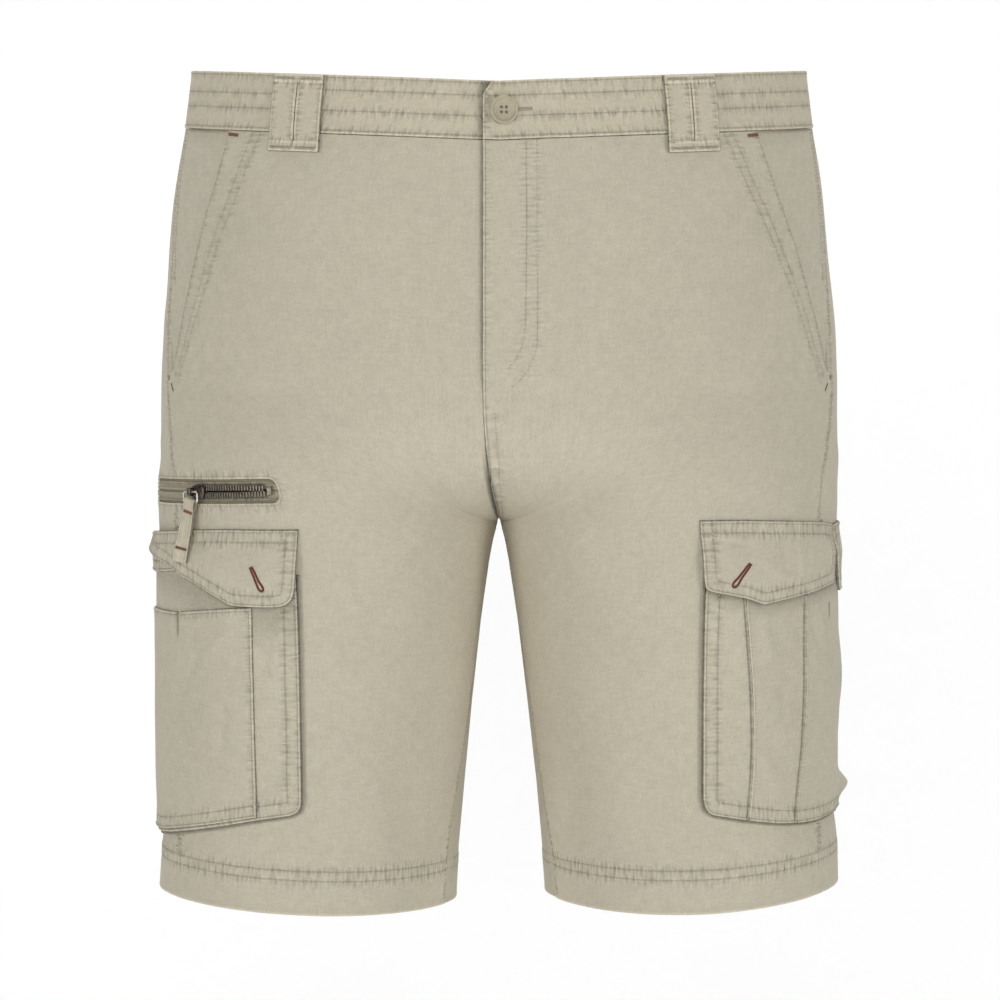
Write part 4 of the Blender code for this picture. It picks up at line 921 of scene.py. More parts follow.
def satin(tacks, spacing=0.42):
    """The stitches that lie side by side across each tack's line: their starts, ends and ways out."""
    starts, ends, outwards = [], [], []
    for tack in tacks:
        path = spline(np.array(tack.start if tack.end is None else (tack.start, tack.end), float), spacing)
        across = left_of(path) * tack.width / 2
        uneven = 1 + 0.12 * np.sin(np.arange(len(path)) * 2.4)
        one = on_cloth(tack.over, tack.half, path + across * uneven[:, None], TACK_LIFT)
        two = on_cloth(tack.over, tack.half, path - across * uneven[::-1, None], TACK_LIFT)
        good = one[2] & two[2]
        starts.append(one[0][good])
        ends.append(two[0][good])
        outwards.append(one[1][good])
    return [np.concatenate(side) for side in (starts, ends, outwards)]


# ---------------------------------------------------------------- pieces of cloth

def lap_share(level, way):
    """1 where the wearer's left laps over the right at the centre front, easing to 0 round the front."""
    across = plain_point(LEFT, level, way)[..., 0]
    return np.where(way > 0, 0.0, blend(LAP_EASE, LAP_FLAT, across))


def full_row(low, high):
    """A straight row between two places."""
    return np.array([low, high], float)


def band_rows(front, far):
    """The band's rows of stitches. One of them changes level under the front belt loop."""
    rows = [full_row((front, level), (far, level)) for level in BAND_ROWS]
    rows.append(full_row((front, BAND_STEP_ROWS[0]), (BAND_STEP_FORWARD, BAND_STEP_ROWS[0])))
    rows.append(full_row((BAND_STEP_FORWARD, BAND_STEP_ROWS[1]), (far, BAND_STEP_ROWS[1])))
    return rows


def all_round(level):
    """A straight row at a level, past both edges of any panel."""
    return full_row((-400.0, level), (400.0, level))


def edge_path(half, levels, inner_way):
    """The inner edge of a panel at some levels."""
    return np.stack([forward_at(half, levels, inner_way(half, levels)), levels], axis=1)


def make_waistband(half):
    """One half of the band, doubled cloth with four rows of topstitching."""
    drops = [BAND_TOP - level for level in sorted(BAND_ROWS + BAND_STEP_ROWS)[::-1]]
    levels = BAND_TOP - stepped(BAND_TOP - BAND_FOOT - SEAM / 2, drops, 1.9)
    rows = []
    for level in levels:
        end_x = LAP_END + LAP_CORNER * float(blend(9.0, 19.0, level)) if half == LEFT else -UNDERLAP_END
        start, stop = float(way_of_x(level, end_x)), 1 - SEAM / 2 / WAY_LENGTH
        first, last = forward_at(half, level, start), forward_at(half, level, stop)
        places = first + (last - first) * edge_steps(620.0, (0.4, 0.9, 1.6), 1.9)
        rows.append(level_row(places, level))
    flat = np.array(rows)
    far = float(flat[0, -1, 0])
    front = float(flat[0, 0, 0])
    seams = band_rows(front + 4, far - 4)
    edges = [full_row((front + 9, BAND_FOOT), (far - 9, BAND_FOOT))]
    if half == LEFT:
        edges.append(flat[:, 0])
        seams.append(flat[:, 0] + (-1.8, 0.0))
    marks = mark(flat, edges, seams, 3.4, [full_row((front + 9, BAND_TOP), (far - 9, BAND_TOP))])
    out = BAND_OUT + relief(flat, marks, 0.6 + half, 0.7, 0.45, 0.28)
    way = way_at(half, flat[..., 1], flat[..., 0])
    if half == LEFT:
        out = out + BAND_LAP_LIFT * lap_share(flat[..., 1], way)
    else:
        # painted shade on the underlap beside the lap's edge
        across = -plain_point(half, flat[..., 1], way)[..., 0]
        marks = marks._replace(kept=1.5 * blend(5.5, 0.0, across + LAP_END))
    node = node_of("waistband", half)
    dress(node, half, flat, out, BAND_THICK, marks,
          slot="canvas_shade")
    rows = band_rows(front - 2.5, far + 1.0)
    if half == LEFT:
        rows.append(flat[4:-4, 0] + (-1.8, 0.0))
    sew(node, half, rows, "canvas_shade")


def slant_edge(half, level):
    """How far forward of the side seam a slanted opening's edge lies."""
    return np.interp(-np.asarray(level, float), [-l for l in SLANT_LEVELS], SLANT_EDGES[half])


def panel_levels():
    """The rows of the big panels: fine at the band, the zip's window and the hem."""
    top, foot = ZIP_HEIGHT + ZIP_WINDOW / 2, ZIP_HEIGHT - ZIP_WINDOW / 2
    upper = top + 4.0 - BAND_FOOT
    parts = [
        BAND_FOOT - SEAM / 2 - 0.01 + upper * edge_steps(upper, (-0.5, -1.2, -2.2), -2.7, False)[:-1],
        top + np.array([4.0, 2.4, 1.2, 0.5, 0.0]),
        np.linspace(top, foot, 8)[1:-1],
        foot - np.array([0.0, 0.5, 1.2, 2.4, 4.0]),
        np.linspace(foot - 4.0, HEM_ROWS[0] + 2.0, 88)[1:-1],
        HEM_ROWS[0] + np.array([2.0, 0.9, 0.0, -1.0, -2.4]),
        HEM_ROWS[1] + np.array([2.0, 0.9, 0.0, -1.0, -2.4]),
        np.linspace(HEM_ROWS[1] - 2.4, HEM_FOOT + 2.0, 8)[1:],
        HEM_FOOT + np.array([1.1, 0.5, 0.0]),
    ]
    return np.concatenate(parts)


def window_share(forward):
    """How much of the zip's fall toward the back has been reached."""
    return np.interp(forward, (ZIP_END, ZIP_BACK, ZIP_FRONT), (0.0, 1.0, 0.0))


def zip_height(forward):
    """The level of the zip's middle at a place along it."""
    return ZIP_HEIGHT + ZIP_FALL * window_share(forward)


def front_inner_way(half, level):
    """Where a front panel ends: at the fly, the crotch seam, then the inseam."""
    side = section_value("side_left", level)
    turn = -1 + INSEAM_TURN * blend(CROTCH, HEM_FOOT, level) + SEAM / 2 / WAY_LENGTH
    past = -LAP_END * (1 - blend(RISE_START, CROTCH + 5, level)) / side * 2 / math.pi
    if half == LEFT:
        trunk = -1 - past
    else:
        under = -FLY_UNDER / side * 2 / math.pi
        share = blend(FLY_FOOT - 3, FLY_FOOT + 3, level)
        lapped = SEAM_LAP / WAY_LENGTH * blend(CROTCH, CROTCH + 12, level)
        trunk = -1 + (past - lapped) * (1 - share) + under * share + SEAM / side
    return np.where(level <= CROTCH, turn, trunk)


def back_inner_way(half, level):
    """Where a back panel ends: the seat seam, then under the front panel at the inseam."""
    turn = np.where(level > CROTCH, 0.0, INSEAM_TURN * blend(CROTCH, HEM_FOOT, level))
    seat = SEAM_LAP if half == RIGHT else -SEAM / 2
    lapped = np.where(level > CROTCH, seat, SEAM_LAP) * blend(0.0, 10.0, np.abs(level - CROTCH))
    return 1 + turn + (lapped - SEAM / 2) / WAY_LENGTH


def tucked(places):
    """How far a panel goes below its neighbour, from its distance past their seam."""
    return -LAP_DROP * blend(-1.4, 0.2, places)


def panel_grid(half, near, middle, inner_way, cells):
    """Places of a panel: rows of level, columns fine at both edges, one column at the zip's end."""
    rows = []
    for level in panel_levels():
        start, end = float(near(level)), float(forward_at(half, level, inner_way(half, level)))
        sign = 1 if end > start else -1
        fine = sign * np.array([0.0, 0.45, 1.1, 2.0])
        gap = sign * np.array([4.0, 2.4, 1.2, 0.5])
        head = start + fine
        beside = np.linspace(head[-1], middle - gap[0], cells[0] + 1)[1:-1]
        after = middle + gap[::-1]
        tail = end - fine[::-1]
        rest = np.linspace(after[-1], tail[0], cells[1] + 1)[1:-1]
        places = np.concatenate([head, beside, middle - gap, [middle], after, rest, tail])
        rows.append(level_row(places, level))
    return np.array(rows), len(head) + len(beside) + 4


def open_window(half, flat, column, end_sign):
    """Bend the rows along the zip's window, round its corner, and say which cells it leaves out."""
    if half == LEFT:
        return flat, None
    top, foot = ZIP_HEIGHT + ZIP_WINDOW / 2, ZIP_HEIGHT - ZIP_WINDOW / 2
    level = flat[..., 1].copy()
    fade = blend(top + 55, top + 6, level) * blend(foot - 55, foot - 6, level)
    rows = level[:, 0]
    first, last = int(np.argmin(abs(rows - top))), int(np.argmin(abs(rows - foot)))
    end = flat[first, column, 0]
    a = (flat[..., 0] - end) * end_sign
    b = np.abs(level - ZIP_HEIGHT) - ZIP_WINDOW / 2
    up = np.sign(level - ZIP_HEIGHT)
    ca, cb = np.minimum(a, 0.0), np.minimum(b, 0.0)
    ca = np.where((a <= 0) & (b <= 0), np.where(a > b, 0.0, a), ca)
    cb = np.where((a <= 0) & (b <= 0), np.where(a > b, b, 0.0), cb)
    along = np.clip(np.where(ca < 0, -ca, cb) / ZIP_CORNER, -1.0, 1.0)
    turn = np.radians(45 + 45 * along)
    da = -ZIP_CORNER + ZIP_CORNER * np.cos(turn) - np.clip(ca, -ZIP_CORNER, 0)
    db = -ZIP_CORNER + ZIP_CORNER * np.sin(turn) - np.clip(cb, -ZIP_CORNER, 0)
    near = np.maximum(-ca, -cb) < ZIP_CORNER
    away = np.hypot(a - ca, b - cb)
    weight = np.where(near, np.exp(-(away / 5.0) ** 2), 0.0)
    bent = flat.copy()
    bent[..., 0] += end_sign * da * weight
    bent[..., 1] += up * db * weight + ZIP_FALL * window_share(flat[..., 0]) * fade
    keep = np.ones((flat.shape[0] - 1, flat.shape[1] - 1), bool)
    keep[first:last, :column] = False
    return bent, keep


def window_edge(inset):
    """The zip window's outline on the wearer's right, moved out by an inset, from the top to the foot."""
    half_height, corner = ZIP_WINDOW / 2 + inset, ZIP_CORNER + inset
    path = []
    for end, sign in ((ZIP_FRONT + inset, 1), (ZIP_BACK - inset, -1)):
        side = []
        for turn in range(90, -91, -15):
            forward = end - sign * corner * (1 - math.cos(math.radians(turn)))
            across = (half_height - corner) * np.sign(turn) + corner * math.sin(math.radians(turn))
            side.append((forward, across + float(zip_height(forward))))
        path.append(side)
    loop = path[0] + path[1][::-1] + path[0][:1]
    fine = [spline(np.array(loop[k:k + 2]), 6.0)[:-1] for k in range(len(loop) - 1)]
    return np.vstack(fine + [loop[:1]])


def front_rows(half):
    """The edges and the rows of stitches of a front panel."""
    levels = np.array([-20.0, -58.0, -99.0, -139.0, -178.0])
    slant = np.stack([slant_edge(half, levels), levels], axis=1)
    rows = [np.stack([slant[:, 0] + 1.6, levels], axis=1)]
    for row in SLANT_ROWS:
        there = np.linspace(-19.5, -184.0, 12)
        reach = np.interp(-there, [-p[0] for p in row], [p[1] for p in row])
        edge = np.where(there > SLANT_FOOT, slant_edge(half, there), 10.0 * (there + 190) / 12)
        rows.append(np.stack([edge + reach, there], axis=1))
    side = np.array([(1.5, -196.0), (1.5, -502.0)])
    inseam = edge_path(half, np.linspace(CROTCH - 6, HEM_FOOT, 10), front_inner_way)
    edges, free = [slant], [all_round(HEM_FOOT)]
    rows += [side, inseam + (-1.8, 0.0)]
    if half == LEFT:
        fly = edge_path(half, np.linspace(-19.5, CROTCH + 8, 14), front_inner_way)
        edges.append(fly)
        rows.append(fly + (-1.7, 0.0))
        rows.append(fly[9:] + (-7.6, 0.0))
        for row in FLY_ROWS:
            path = spline(row, 6.0)
            way = way_of_x(path[:, 1], path[:, 0])
            rows.append(np.stack([forward_at(half, path[:, 1], way), path[:, 1]], axis=1))
    else:
        free.append(window_edge(0.0))
        rows.append(window_edge(1.5))
    return edges, free, rows


def finish_panel(node, half, flat, out, marks, keep, rows, toward):
    """A big panel with its turned hem and its stitches. Toward is 1 for a front and -1 for a back."""
    level = flat[..., 1]
    out = out + HEM_FOLD_LIFT * blend(HEM_ROWS[0] + 1.5, HEM_ROWS[0] - 1.5, level)
    thick = CLOTH_THICK + (HEM_THICK - CLOTH_THICK) * blend(HEM_LINE + 2, HEM_LINE - 2, level)
    dress(node, half, flat, out, thick, marks, keep=keep)
    far = float(flat[-12, -1, 0]) - 0.6 * toward
    hems = [full_row((toward, line), (far, line)) for line in HEM_ROWS]
    sew(node, half, [spline(row, 4.0) for row in rows] + hems)


def make_front(half):
    """A front panel, from the slanted opening and the side seam to the fly and the inseam."""
    def near(level):
        """The slanted edge, then the side seam below it."""
        if level > SLANT_FOOT + 0.5:
            return slant_edge(half, level)
        return SEAM / 2 + 9.8 * float(blend(SLANT_FOOT - 7, SLANT_FOOT + 0.5, level))

    flat, column = panel_grid(half, near, ZIP_FRONT, front_inner_way, (30, 66))
    flat, keep = open_window(half, flat, column, 1)
    edges, free, rows = front_rows(half)
    marks = mark(flat, edges, rows + [all_round(line) for line in HEM_ROWS], 3.8, free)
    level = flat[..., 1]
    way = way_at(half, level, flat[..., 0])
    calm = 1 - 0.45 * blend(48.0, 34.0, np.abs(plain_point(half, level, way)[..., 0])) * (level > RISE_START)
    marks = marks._replace(pucker_u=marks.pucker_u * calm, pucker_v=marks.pucker_v * calm)
    out = relief(flat, marks, 0.2 + half, 0.7, 0.45, 0.18)
    if half == LEFT:
        out = out + FLY_LIFT * blend(FLY_LIFT_END, FLY_FOOT, level) * lap_share(level, way)
    else:
        past_seam = (front_inner_way(LEFT, level) + 2 + way) * -WAY_LENGTH
        below_fly = blend(FLY_FOOT + 6, FLY_FOOT - 8, level)
        out = out + tucked(past_seam) * below_fly * blend(CROTCH, CROTCH + 12, level)
        # painted shade beside the fly's lapped edge
        across = -plain_point(half, level, way)[..., 0]
        marks = marks._replace(kept=1.3 * blend(4.0, 0.0, across + LAP_END) * blend(-196.0, -150.0, level))
    # painted shade darkens the gap at the crotch seam, which also sinks between the legs, and painted light
    # makes the inner thighs paler where they turn from the light
    beside = np.maximum(0.0, np.abs(flat[..., 0] - flat[:, -1:, 0]) - (SEAM_LAP if half == RIGHT else 0.0))
    sink = np.exp(-(beside / (0.4 + 3.2 * blend(-250.0, CROTCH, level))) ** 2) * blend(-246.0, -264.0, level)
    sink = sink * (level > CROTCH)
    out = out - CROTCH_SINK * sink
    gap = np.exp(-(beside / (0.8 + 3.2 * blend(-199.0, -250.0, level))) ** 4) * blend(-197.0, -212.0, level)
    shade = np.exp(-(beside / 8.0) ** 2) * blend(-205.0, -240.0, level)
    gap, shade = gap * (level > CROTCH), shade * (level > CROTCH)
    # painted light on the inner thighs, which the other leg keeps in shade
    worn = blend(-0.68, -0.96, way) * blend(-225.0, -300.0, level)
    marks = marks._replace(kept=marks.kept + 2.5 * gap + 0.4 * shade * (1 - gap) - 0.6 * worn * (1 - gap))
    finish_panel(node_of("front", half), half, flat, out, marks, keep, rows, 1.0)


def make_back(half):
    """A back panel, from the side seam to the seat seam and the inseam."""
    flat, column = panel_grid(half, lambda level: SEAM_LAP, ZIP_BACK, back_inner_way, (18, 62))
    flat, keep = open_window(half, flat, column, -1)
    rows = [full_row((-1.7, -21.0), (-1.7, -240.0)), full_row((-1.7, -272.0), (-1.7, -502.0))]
    free = [all_round(HEM_FOOT)]
    if half == LEFT:
        seat = edge_path(half, np.linspace(-20.0, CROTCH + 3, 14), back_inner_way)
        rows += [seat + (1.7, 0.0), seat + (8.0, 0.0)]
    else:
        free.append(window_edge(0.0))
        rows.append(window_edge(1.5))
    marks = mark(flat, [], rows + [all_round(line) for line in HEM_ROWS], 3.8, free)
    level = flat[..., 1]
    out = relief(flat, marks, 0.9 + half, 0.4, 0.2, 0.16) + tucked(flat[..., 0])
    way = way_at(half, level, flat[..., 0])
    inseam = 1 + np.where(level > CROTCH, 0.0, INSEAM_TURN * blend(CROTCH, HEM_FOOT, level))
    laps = np.where(level > CROTCH, float(half == RIGHT), 1.0) * blend(0.0, 10.0, np.abs(level - CROTCH))
    out = out + tucked((way - inseam) * WAY_LENGTH) * laps
    finish_panel(node_of("back", half), half, flat, out, marks, keep, rows, -1.0)


def make_hip(half):
    """The plain piece that shows behind a slanted opening."""
    node, rows, out = node_of("hip", half), [], []
    for level in np.linspace(BAND_FOOT - SEAM / 2, BEARER_FOOT, 70):
        edge = float(slant_edge(half, level))
        far = edge + BEARER_UNDER
        places = SEAM / 2 + (far - SEAM / 2) * edge_steps(90.0, (0.5, 1.2), 3.0)
        rows.append(level_row(places, level))
        tuck = float(blend(*BEARER_TUCK, level))
        out.append(-BEARER_DROP * np.maximum(tuck, blend(0.0, BEARER_SINK * edge, places)))
    flat = np.array(rows)
    seam = [full_row((1.6, -21.0), (1.6, -150.0)), full_row((8.0, -21.0), (8.0, -120.0))]
    marks = mark(flat, [], seam, 3.0)
    out = np.array(out) + relief(flat, marks, 1.1)
    dress(node, half, flat, out, CLOTH_THICK, marks)
    sew(node, half, seam)


def make_loops():
    """Belt loops: pairs of strips. Their turned ends are sewn across both, near the band's top and below it."""
    top, foot = LOOP_ROWS[0][0], LOOP_ROWS[-1][0]
    turned = [low + step for low in (LOOP_TOP_BAR, LOOP_FOOT_BAR) for step in (0.7, 0.25, -0.25, -0.7)]
    levels = top + (foot - top) * edge_steps(50.0, (0.4, 0.9, 1.6), 1.5)
    levels = np.sort([level for level in levels if min(abs(np.array(turned) - level)) > 0.4] + turned)[::-1]
    upper = blend(LOOP_TOP_BAR - 0.3, LOOP_TOP_BAR + 0.3, levels)
    lower = blend(LOOP_FOOT_BAR + 0.3, LOOP_FOOT_BAR - 0.3, levels)
    stand = spline(LOOP_ROWS, 0.5)
    stands = np.interp(-levels, -stand[:, 0], stand[:, 1]) + 0.7 * (upper + lower)
    slit = (levels < LOOP_TOP_BAR) & (levels > LOOP_FOOT_BAR)
    ends, folds, bars = (
        [int(np.argmin(abs(levels - level))) for level in pair]
        for pair in ((LOOP_TOP_BAR - 0.7, LOOP_FOOT_BAR + 0.7), (LOOP_TOP_BAR + 0.3, LOOP_FOOT_BAR - 0.3),
                     (top - 2.4, foot + 2.4)))
    for name, half, middle in LOOP_PAIRS:
        for label, sign in (("a", 1), ("b", -1)):
            node = f"belt_loop_{name}_{label}"
            rows = []
            for level, bar, wide in zip(levels, upper + lower, 0.4 * upper + lower):
                centre = float(forward_at(half, level, middle))
                near = sign * (LOOP_SLIT / 2 * (1 - bar) + 0.03 * bar)
                far = sign * (LOOP_SLIT / 2 + LOOP_WIDTH + LOOP_BAR_WIDER * wide)
                places = centre + near + (far - near) * edge_steps(18.0, (0.4, 0.9, 1.6), 1.5)
                rows.append(level_row(places, level))
            flat = np.array(rows)
            lean = np.array([sign * 2.1, 0.0])
            seams = [flat[slit, 0] + lean, flat[slit, -1] - lean]
            tacks = [flat[row][[2, -3]] for row in bars]
            sewn = seams + tacks + [flat[row] for row in ends]
            free = [flat[slit, 0], flat[0], *(flat[row] for row in folds)]
            marks = mark(flat, [flat[:, -1], flat[-1]], sewn, 2.6, free)
            out = stands[:, None] + LOOP_CLOTH + relief(flat, marks, 0.3 * len(name) + sign, 0.4, 0.3, 0.2)
            dress(node, half, flat, out, 1.3, marks,
                  slot="canvas_shade")
            sew(node, half, seams + tacks, "canvas_shade")


# How far the rows of stitches lie inside the outline of a flap, a cargo pocket and the phone pocket.
FLAP_LINES, POCKET_LINES, PHONE_LINES = (1.7, 7.6), (1.7, 9.0), (1.7, 8.4)
FLAP_STEP, POCKET_STEP, GUSSET_STEP = 1.4, 2.1, 3.0
PATCH_THICK = 1.0


def outline_grid(columns, lean, step, finer=(), lines=FLAP_LINES):
    """A pocket's or flap's grid of places from its smoothed table, and how far down each is. Its rows and
    columns keep their distance from the outline near the lines of stitches."""
    fine = spline([(c.forward, c.foot, c.top) for c in columns], 0.5)
    width = fine[0, 0] - fine[-1, 0]
    sides = [*lines, *(width - line for line in lines)]
    reach = stepped(width, sorted(sides), step)
    for low, high in finer:
        extra = np.arange(fine[0, 0] - high, fine[0, 0] - low, 0.6)
        reach = np.sort(np.concatenate([reach[(reach < extra[0] - 0.4) | (reach > extra[-1] + 0.4)], extra]))
    forward = fine[0, 0] - reach
    foot, top = (np.interp(reach, fine[0, 0] - fine[:, 0], fine[:, k]) for k in (1, 2))
    tall = float(np.mean(top - foot))
    drops = stepped(tall, sorted([*lines, *(tall - line for line in lines)]), step)[:, None]
    ends = min(max(lines) + 2.0, tall / 2)
    share = np.clip((drops - ends) / max(1e-6, tall - 2 * ends), 0.0, 1.0)
    level = top - drops + (foot - top + tall) * share
    down = (top - level) / (top - foot)
    flat = np.stack([forward * (1 - lean * down), level], axis=-1)
    return flat, down


def loop_parts(flat):
    """A grid's front, foot, back and top edges as paths."""
    return flat[:, 0], flat[-1], flat[::-1, -1], flat[0]


def sewn_sides(flat):
    """A grid's front, foot and back edges as one path, and its top edge."""
    front, foot, back, top = loop_parts(flat)
    return np.vstack([front[:-1], foot, back[1:]]), top


def inset(path, distance):
    """A path moved toward its right-hand side, where it stays that far from the whole path."""
    path = spline(path, 1.5)
    moved = path - left_of(path) * distance
    gap = nearest(moved, path)[0]
    return moved[gap > distance - 0.15]


def pocket_bulge(columns, forward, down):
    """How far a pocket stands off between its sewn edges."""
    across = np.clip((columns[0].forward - forward) / (columns[0].forward - columns[-1].forward), 0, 1)
    return POCKET_BULGE * np.maximum(0.0, np.sin(math.pi * across) * np.sin(math.pi * np.clip(down, 0, 1)))


def kick(half, level, forward):
    """The crushed back corner of the left pocket, which stands out from the leg."""
    if half == RIGHT:
        return np.zeros_like(level)
    near = ((forward - KICK_FORWARD) / KICK_WIDTH) ** 2 + ((level - KICK_HEIGHT) / KICK_DEPTH) ** 2
    return KICK_OUT * np.exp(-near)


def make_gusset(half):
    """The folded strip under a pocket's sides and foot, which shows as a narrow edge outside it, darkened with
    painted shade.
    """
    flat, _ = outline_grid(POCKETS[half], POCKET_LEAN, GUSSET_STEP)
    front, foot, back, _ = loop_parts(flat)
    path = spline(np.vstack([front[:-3:2], foot[::2], back[3::2]]), 2.6)
    outward = left_of(path)
    reaches = np.array([GUSSET_OUTSIDE, 1.5, 0.9, 0.3, -0.8, -3.0, -6.0, -GUSSET_INSIDE])
    grid = path[:, None, :] + outward[:, None, :] * reaches[None, :, None]
    # painted shade, deeper toward the middle of the pocket
    marks = mark(grid)._replace(kept=np.tile(np.interp(-reaches, (-1.9, -0.9), (1.0, 2.0)), (len(path), 1)))
    kicks = kick(half, grid[..., 1], grid[..., 0])
    out = LAYER_GAP + GUSSET_CLOTH + KICK_UNDER * kicks + relief(grid, marks, 2.0, 0.5, 0.3, 0.2)
    dress(node_of("cargo_gusset", half), half, grid, out, PATCH_THICK, marks,
          slot="canvas_shade")


def make_pocket(half):
    """A cargo pocket's patch. The wearer's left one has two sewn pleats down it."""
    name, columns = node_of("cargo_pocket", half), POCKETS[half]
    finer = PLEAT_BANDS if half == LEFT else ()
    flat, down = outline_grid(columns, POCKET_LEAN, POCKET_STEP, finer, POCKET_LINES)
    sides, top = sewn_sides(flat)
    rows = [inset(sides, line) for line in POCKET_LINES]
    marks = mark(flat, [spline(sides, 2.5), top], rows, 3.4)
    u, v = flat[..., 0], flat[..., 1]
    # painted shadow of the flap on the pocket below it
    over = np.array(FLAP_OVER_POCKET[half])[::-1]
    below_flap = np.interp(u, over[:, 0] * (1 - FLAP_LEAN), over[:, 2]) - v
    kept = 0.85 * blend(FLAP_SHADE[half], 0.0, below_flap) + 0.9 * blend(3.4, 0.0, below_flap)
    marks = marks._replace(kept=kept)
    out = POCKET_OUT + POCKET_CLOTH + pocket_bulge(columns, u, down) + kick(half, v, u)
    out = out + relief(flat, marks, 1.4 + half, 0.9, 0.4, 0.3)
    out = out + 0.35 * np.sin(u / 9.0 + 1.1 * half) * np.sin(v / 21.0 + 0.8)
    out = out + 0.2 * np.sin(u / 5.2 - v / 11.0)
    if half == LEFT:
        for line in PLEATS:
            path = spline(line, 6.0)
            across = u - np.interp(-v, -path[:, 1], path[:, 0])
            fold = 1.3 * np.exp(np.minimum(across, 0) / 9.0) * blend(0.45, -0.25, across)
            out = out + fold - 0.5 * np.exp(-((across - 0.7) / 0.6) ** 2)
            # painted shadow in the gap along each pleat's fold, with the fold's worn paler rim beside it
            marks = marks._replace(
                seam=np.minimum(marks.seam, 1.1 * np.abs(across - 0.8)),
                edge=np.where(across < 0, np.minimum(marks.edge, np.abs(across + 0.3)), marks.edge),
                kept=np.maximum(marks.kept, 1.1 * np.exp(-((across - 0.5) / 0.75) ** 2)),
                pucker_v=np.maximum(marks.pucker_v, 0.5 * np.exp(-(across / 2.4) ** 2)))
            rows.append(np.array(line) + (-1.9, 0.0))
        slit = np.exp(-((u - SLIT_PLACE) / 1.0) ** 2) * blend(SLIT_FOOT - 1, SLIT_FOOT + 1, v)
        slit = slit * blend(SLIT_TOP + 1, SLIT_TOP - 1, v)
        out = out - 0.9 * slit
        # painted shade in the slit
        marks = marks._replace(kept=np.maximum(marks.kept, 2.6 * slit))
    out = out + ridges(flat, RIDGES.get(name, ()))
    dress(name, half, flat, out, PATCH_THICK, marks)
    sew(name, half, rows)


DART_PLACE, DART_BAND = 9.5, (5.5, 13.5)
PLEATS = (
    ((72.0, -306.0), (72.0, -325.0), (69.0, -352.0), (64.5, -400.0), (63.6, -440.0), (65.7, -471.0)),
    ((21.8, -308.0), (22.0, -345.0), (22.6, -385.0), (24.1, -420.0), (27.4, -450.0), (29.2, -474.0)),
)
PLEAT_BANDS = ((19.0, 33.0), (62.5, 75.5), (-17.0, -11.0))
SLIT_PLACE, SLIT_TOP, SLIT_FOOT = -13.5, -333.0, -342.5


def make_phone_pocket():
    """The open-topped pocket on the right cargo pocket, with a short dart in its mouth."""
    flat, _ = outline_grid(PHONE_RIGHT, POCKET_LEAN, POCKET_STEP, (DART_BAND,), PHONE_LINES)
    front, foot, back, top = loop_parts(flat)
    u, v = flat[..., 0], flat[..., 1]
    edge, inner = PHONE_LINES
    rows = [spline(front[2:-2], 4.0) + (-edge, 0.0), spline(foot[2:-2], 4.0) + (0.0, edge),
            spline(foot[4:-4], 4.0) + (0.0, inner), spline(top[2:-2], 4.0) + (0.0, -2.2)]
    marks = mark(flat, [front, foot, top, back], rows, 3.2)
    tall = np.array(POCKET_RIGHT)[::-1]
    tops, feet = np.interp(u, tall[:, 0], tall[:, 1]), np.interp(u, tall[:, 0], tall[:, 2])
    out = PHONE_OUT + POCKET_CLOTH + pocket_bulge(POCKET_RIGHT, u, (tops - v) / (tops - feet))
    out = out + relief(flat, marks, 3.1, 0.9, 0.45, 0.26)
    out = out + 0.3 * np.sin(u / 10.0 + 2.0) * np.sin(v / 24.0 + 1.8) + 0.15 * np.sin(u / 6.2 + v / 10.0)
    slim = 1.0 * blend(-356.0, -340.0, v) + 0.6
    dart = np.exp(-((u - DART_PLACE) / slim) ** 2) * blend(-358.0, -350.0, v)
    out = out - 2.2 * dart + 0.6 * np.exp(-((u - DART_PLACE + 2.4) / 1.3) ** 2) * blend(-362.0, -348.0, v)
    # painted shade in the dart
    marks = marks._replace(kept=2.6 * dart)
    out = out + ridges(flat, RIDGES["phone_pocket"])
    dress("phone_pocket", RIGHT, flat, out, PATCH_THICK, marks)
    sew("phone_pocket", RIGHT, rows)


Flap = namedtuple("Flap", "name half columns foot_out lean lifted seed size area")
FLAPS = tuple(Flap(*row) for row in (
    ("cargo_flap_right", RIGHT, FLAP_RIGHT, FLAP_FOOT_OUT, FLAP_LEAN, True, 0.3, (0.175, 0.05), 0.0056),
    ("cargo_flap_right_back", RIGHT, FLAP_RIGHT_BACK, RIGHT_BACK_FLAP_OUT, 0.0, False, 1.3, (0.108, 0.027),
     None),
    ("cargo_flap_left", LEFT, FLAP_LEFT, FLAP_FOOT_OUT, 0.068, False, 2.3, (0.132, 0.054), 0.006),
    ("cargo_flap_left_back", LEFT, FLAP_LEFT_BACK, FLAP_FOOT_OUT, 0.0, False, 3.3, (0.069, 0.046), None),
))


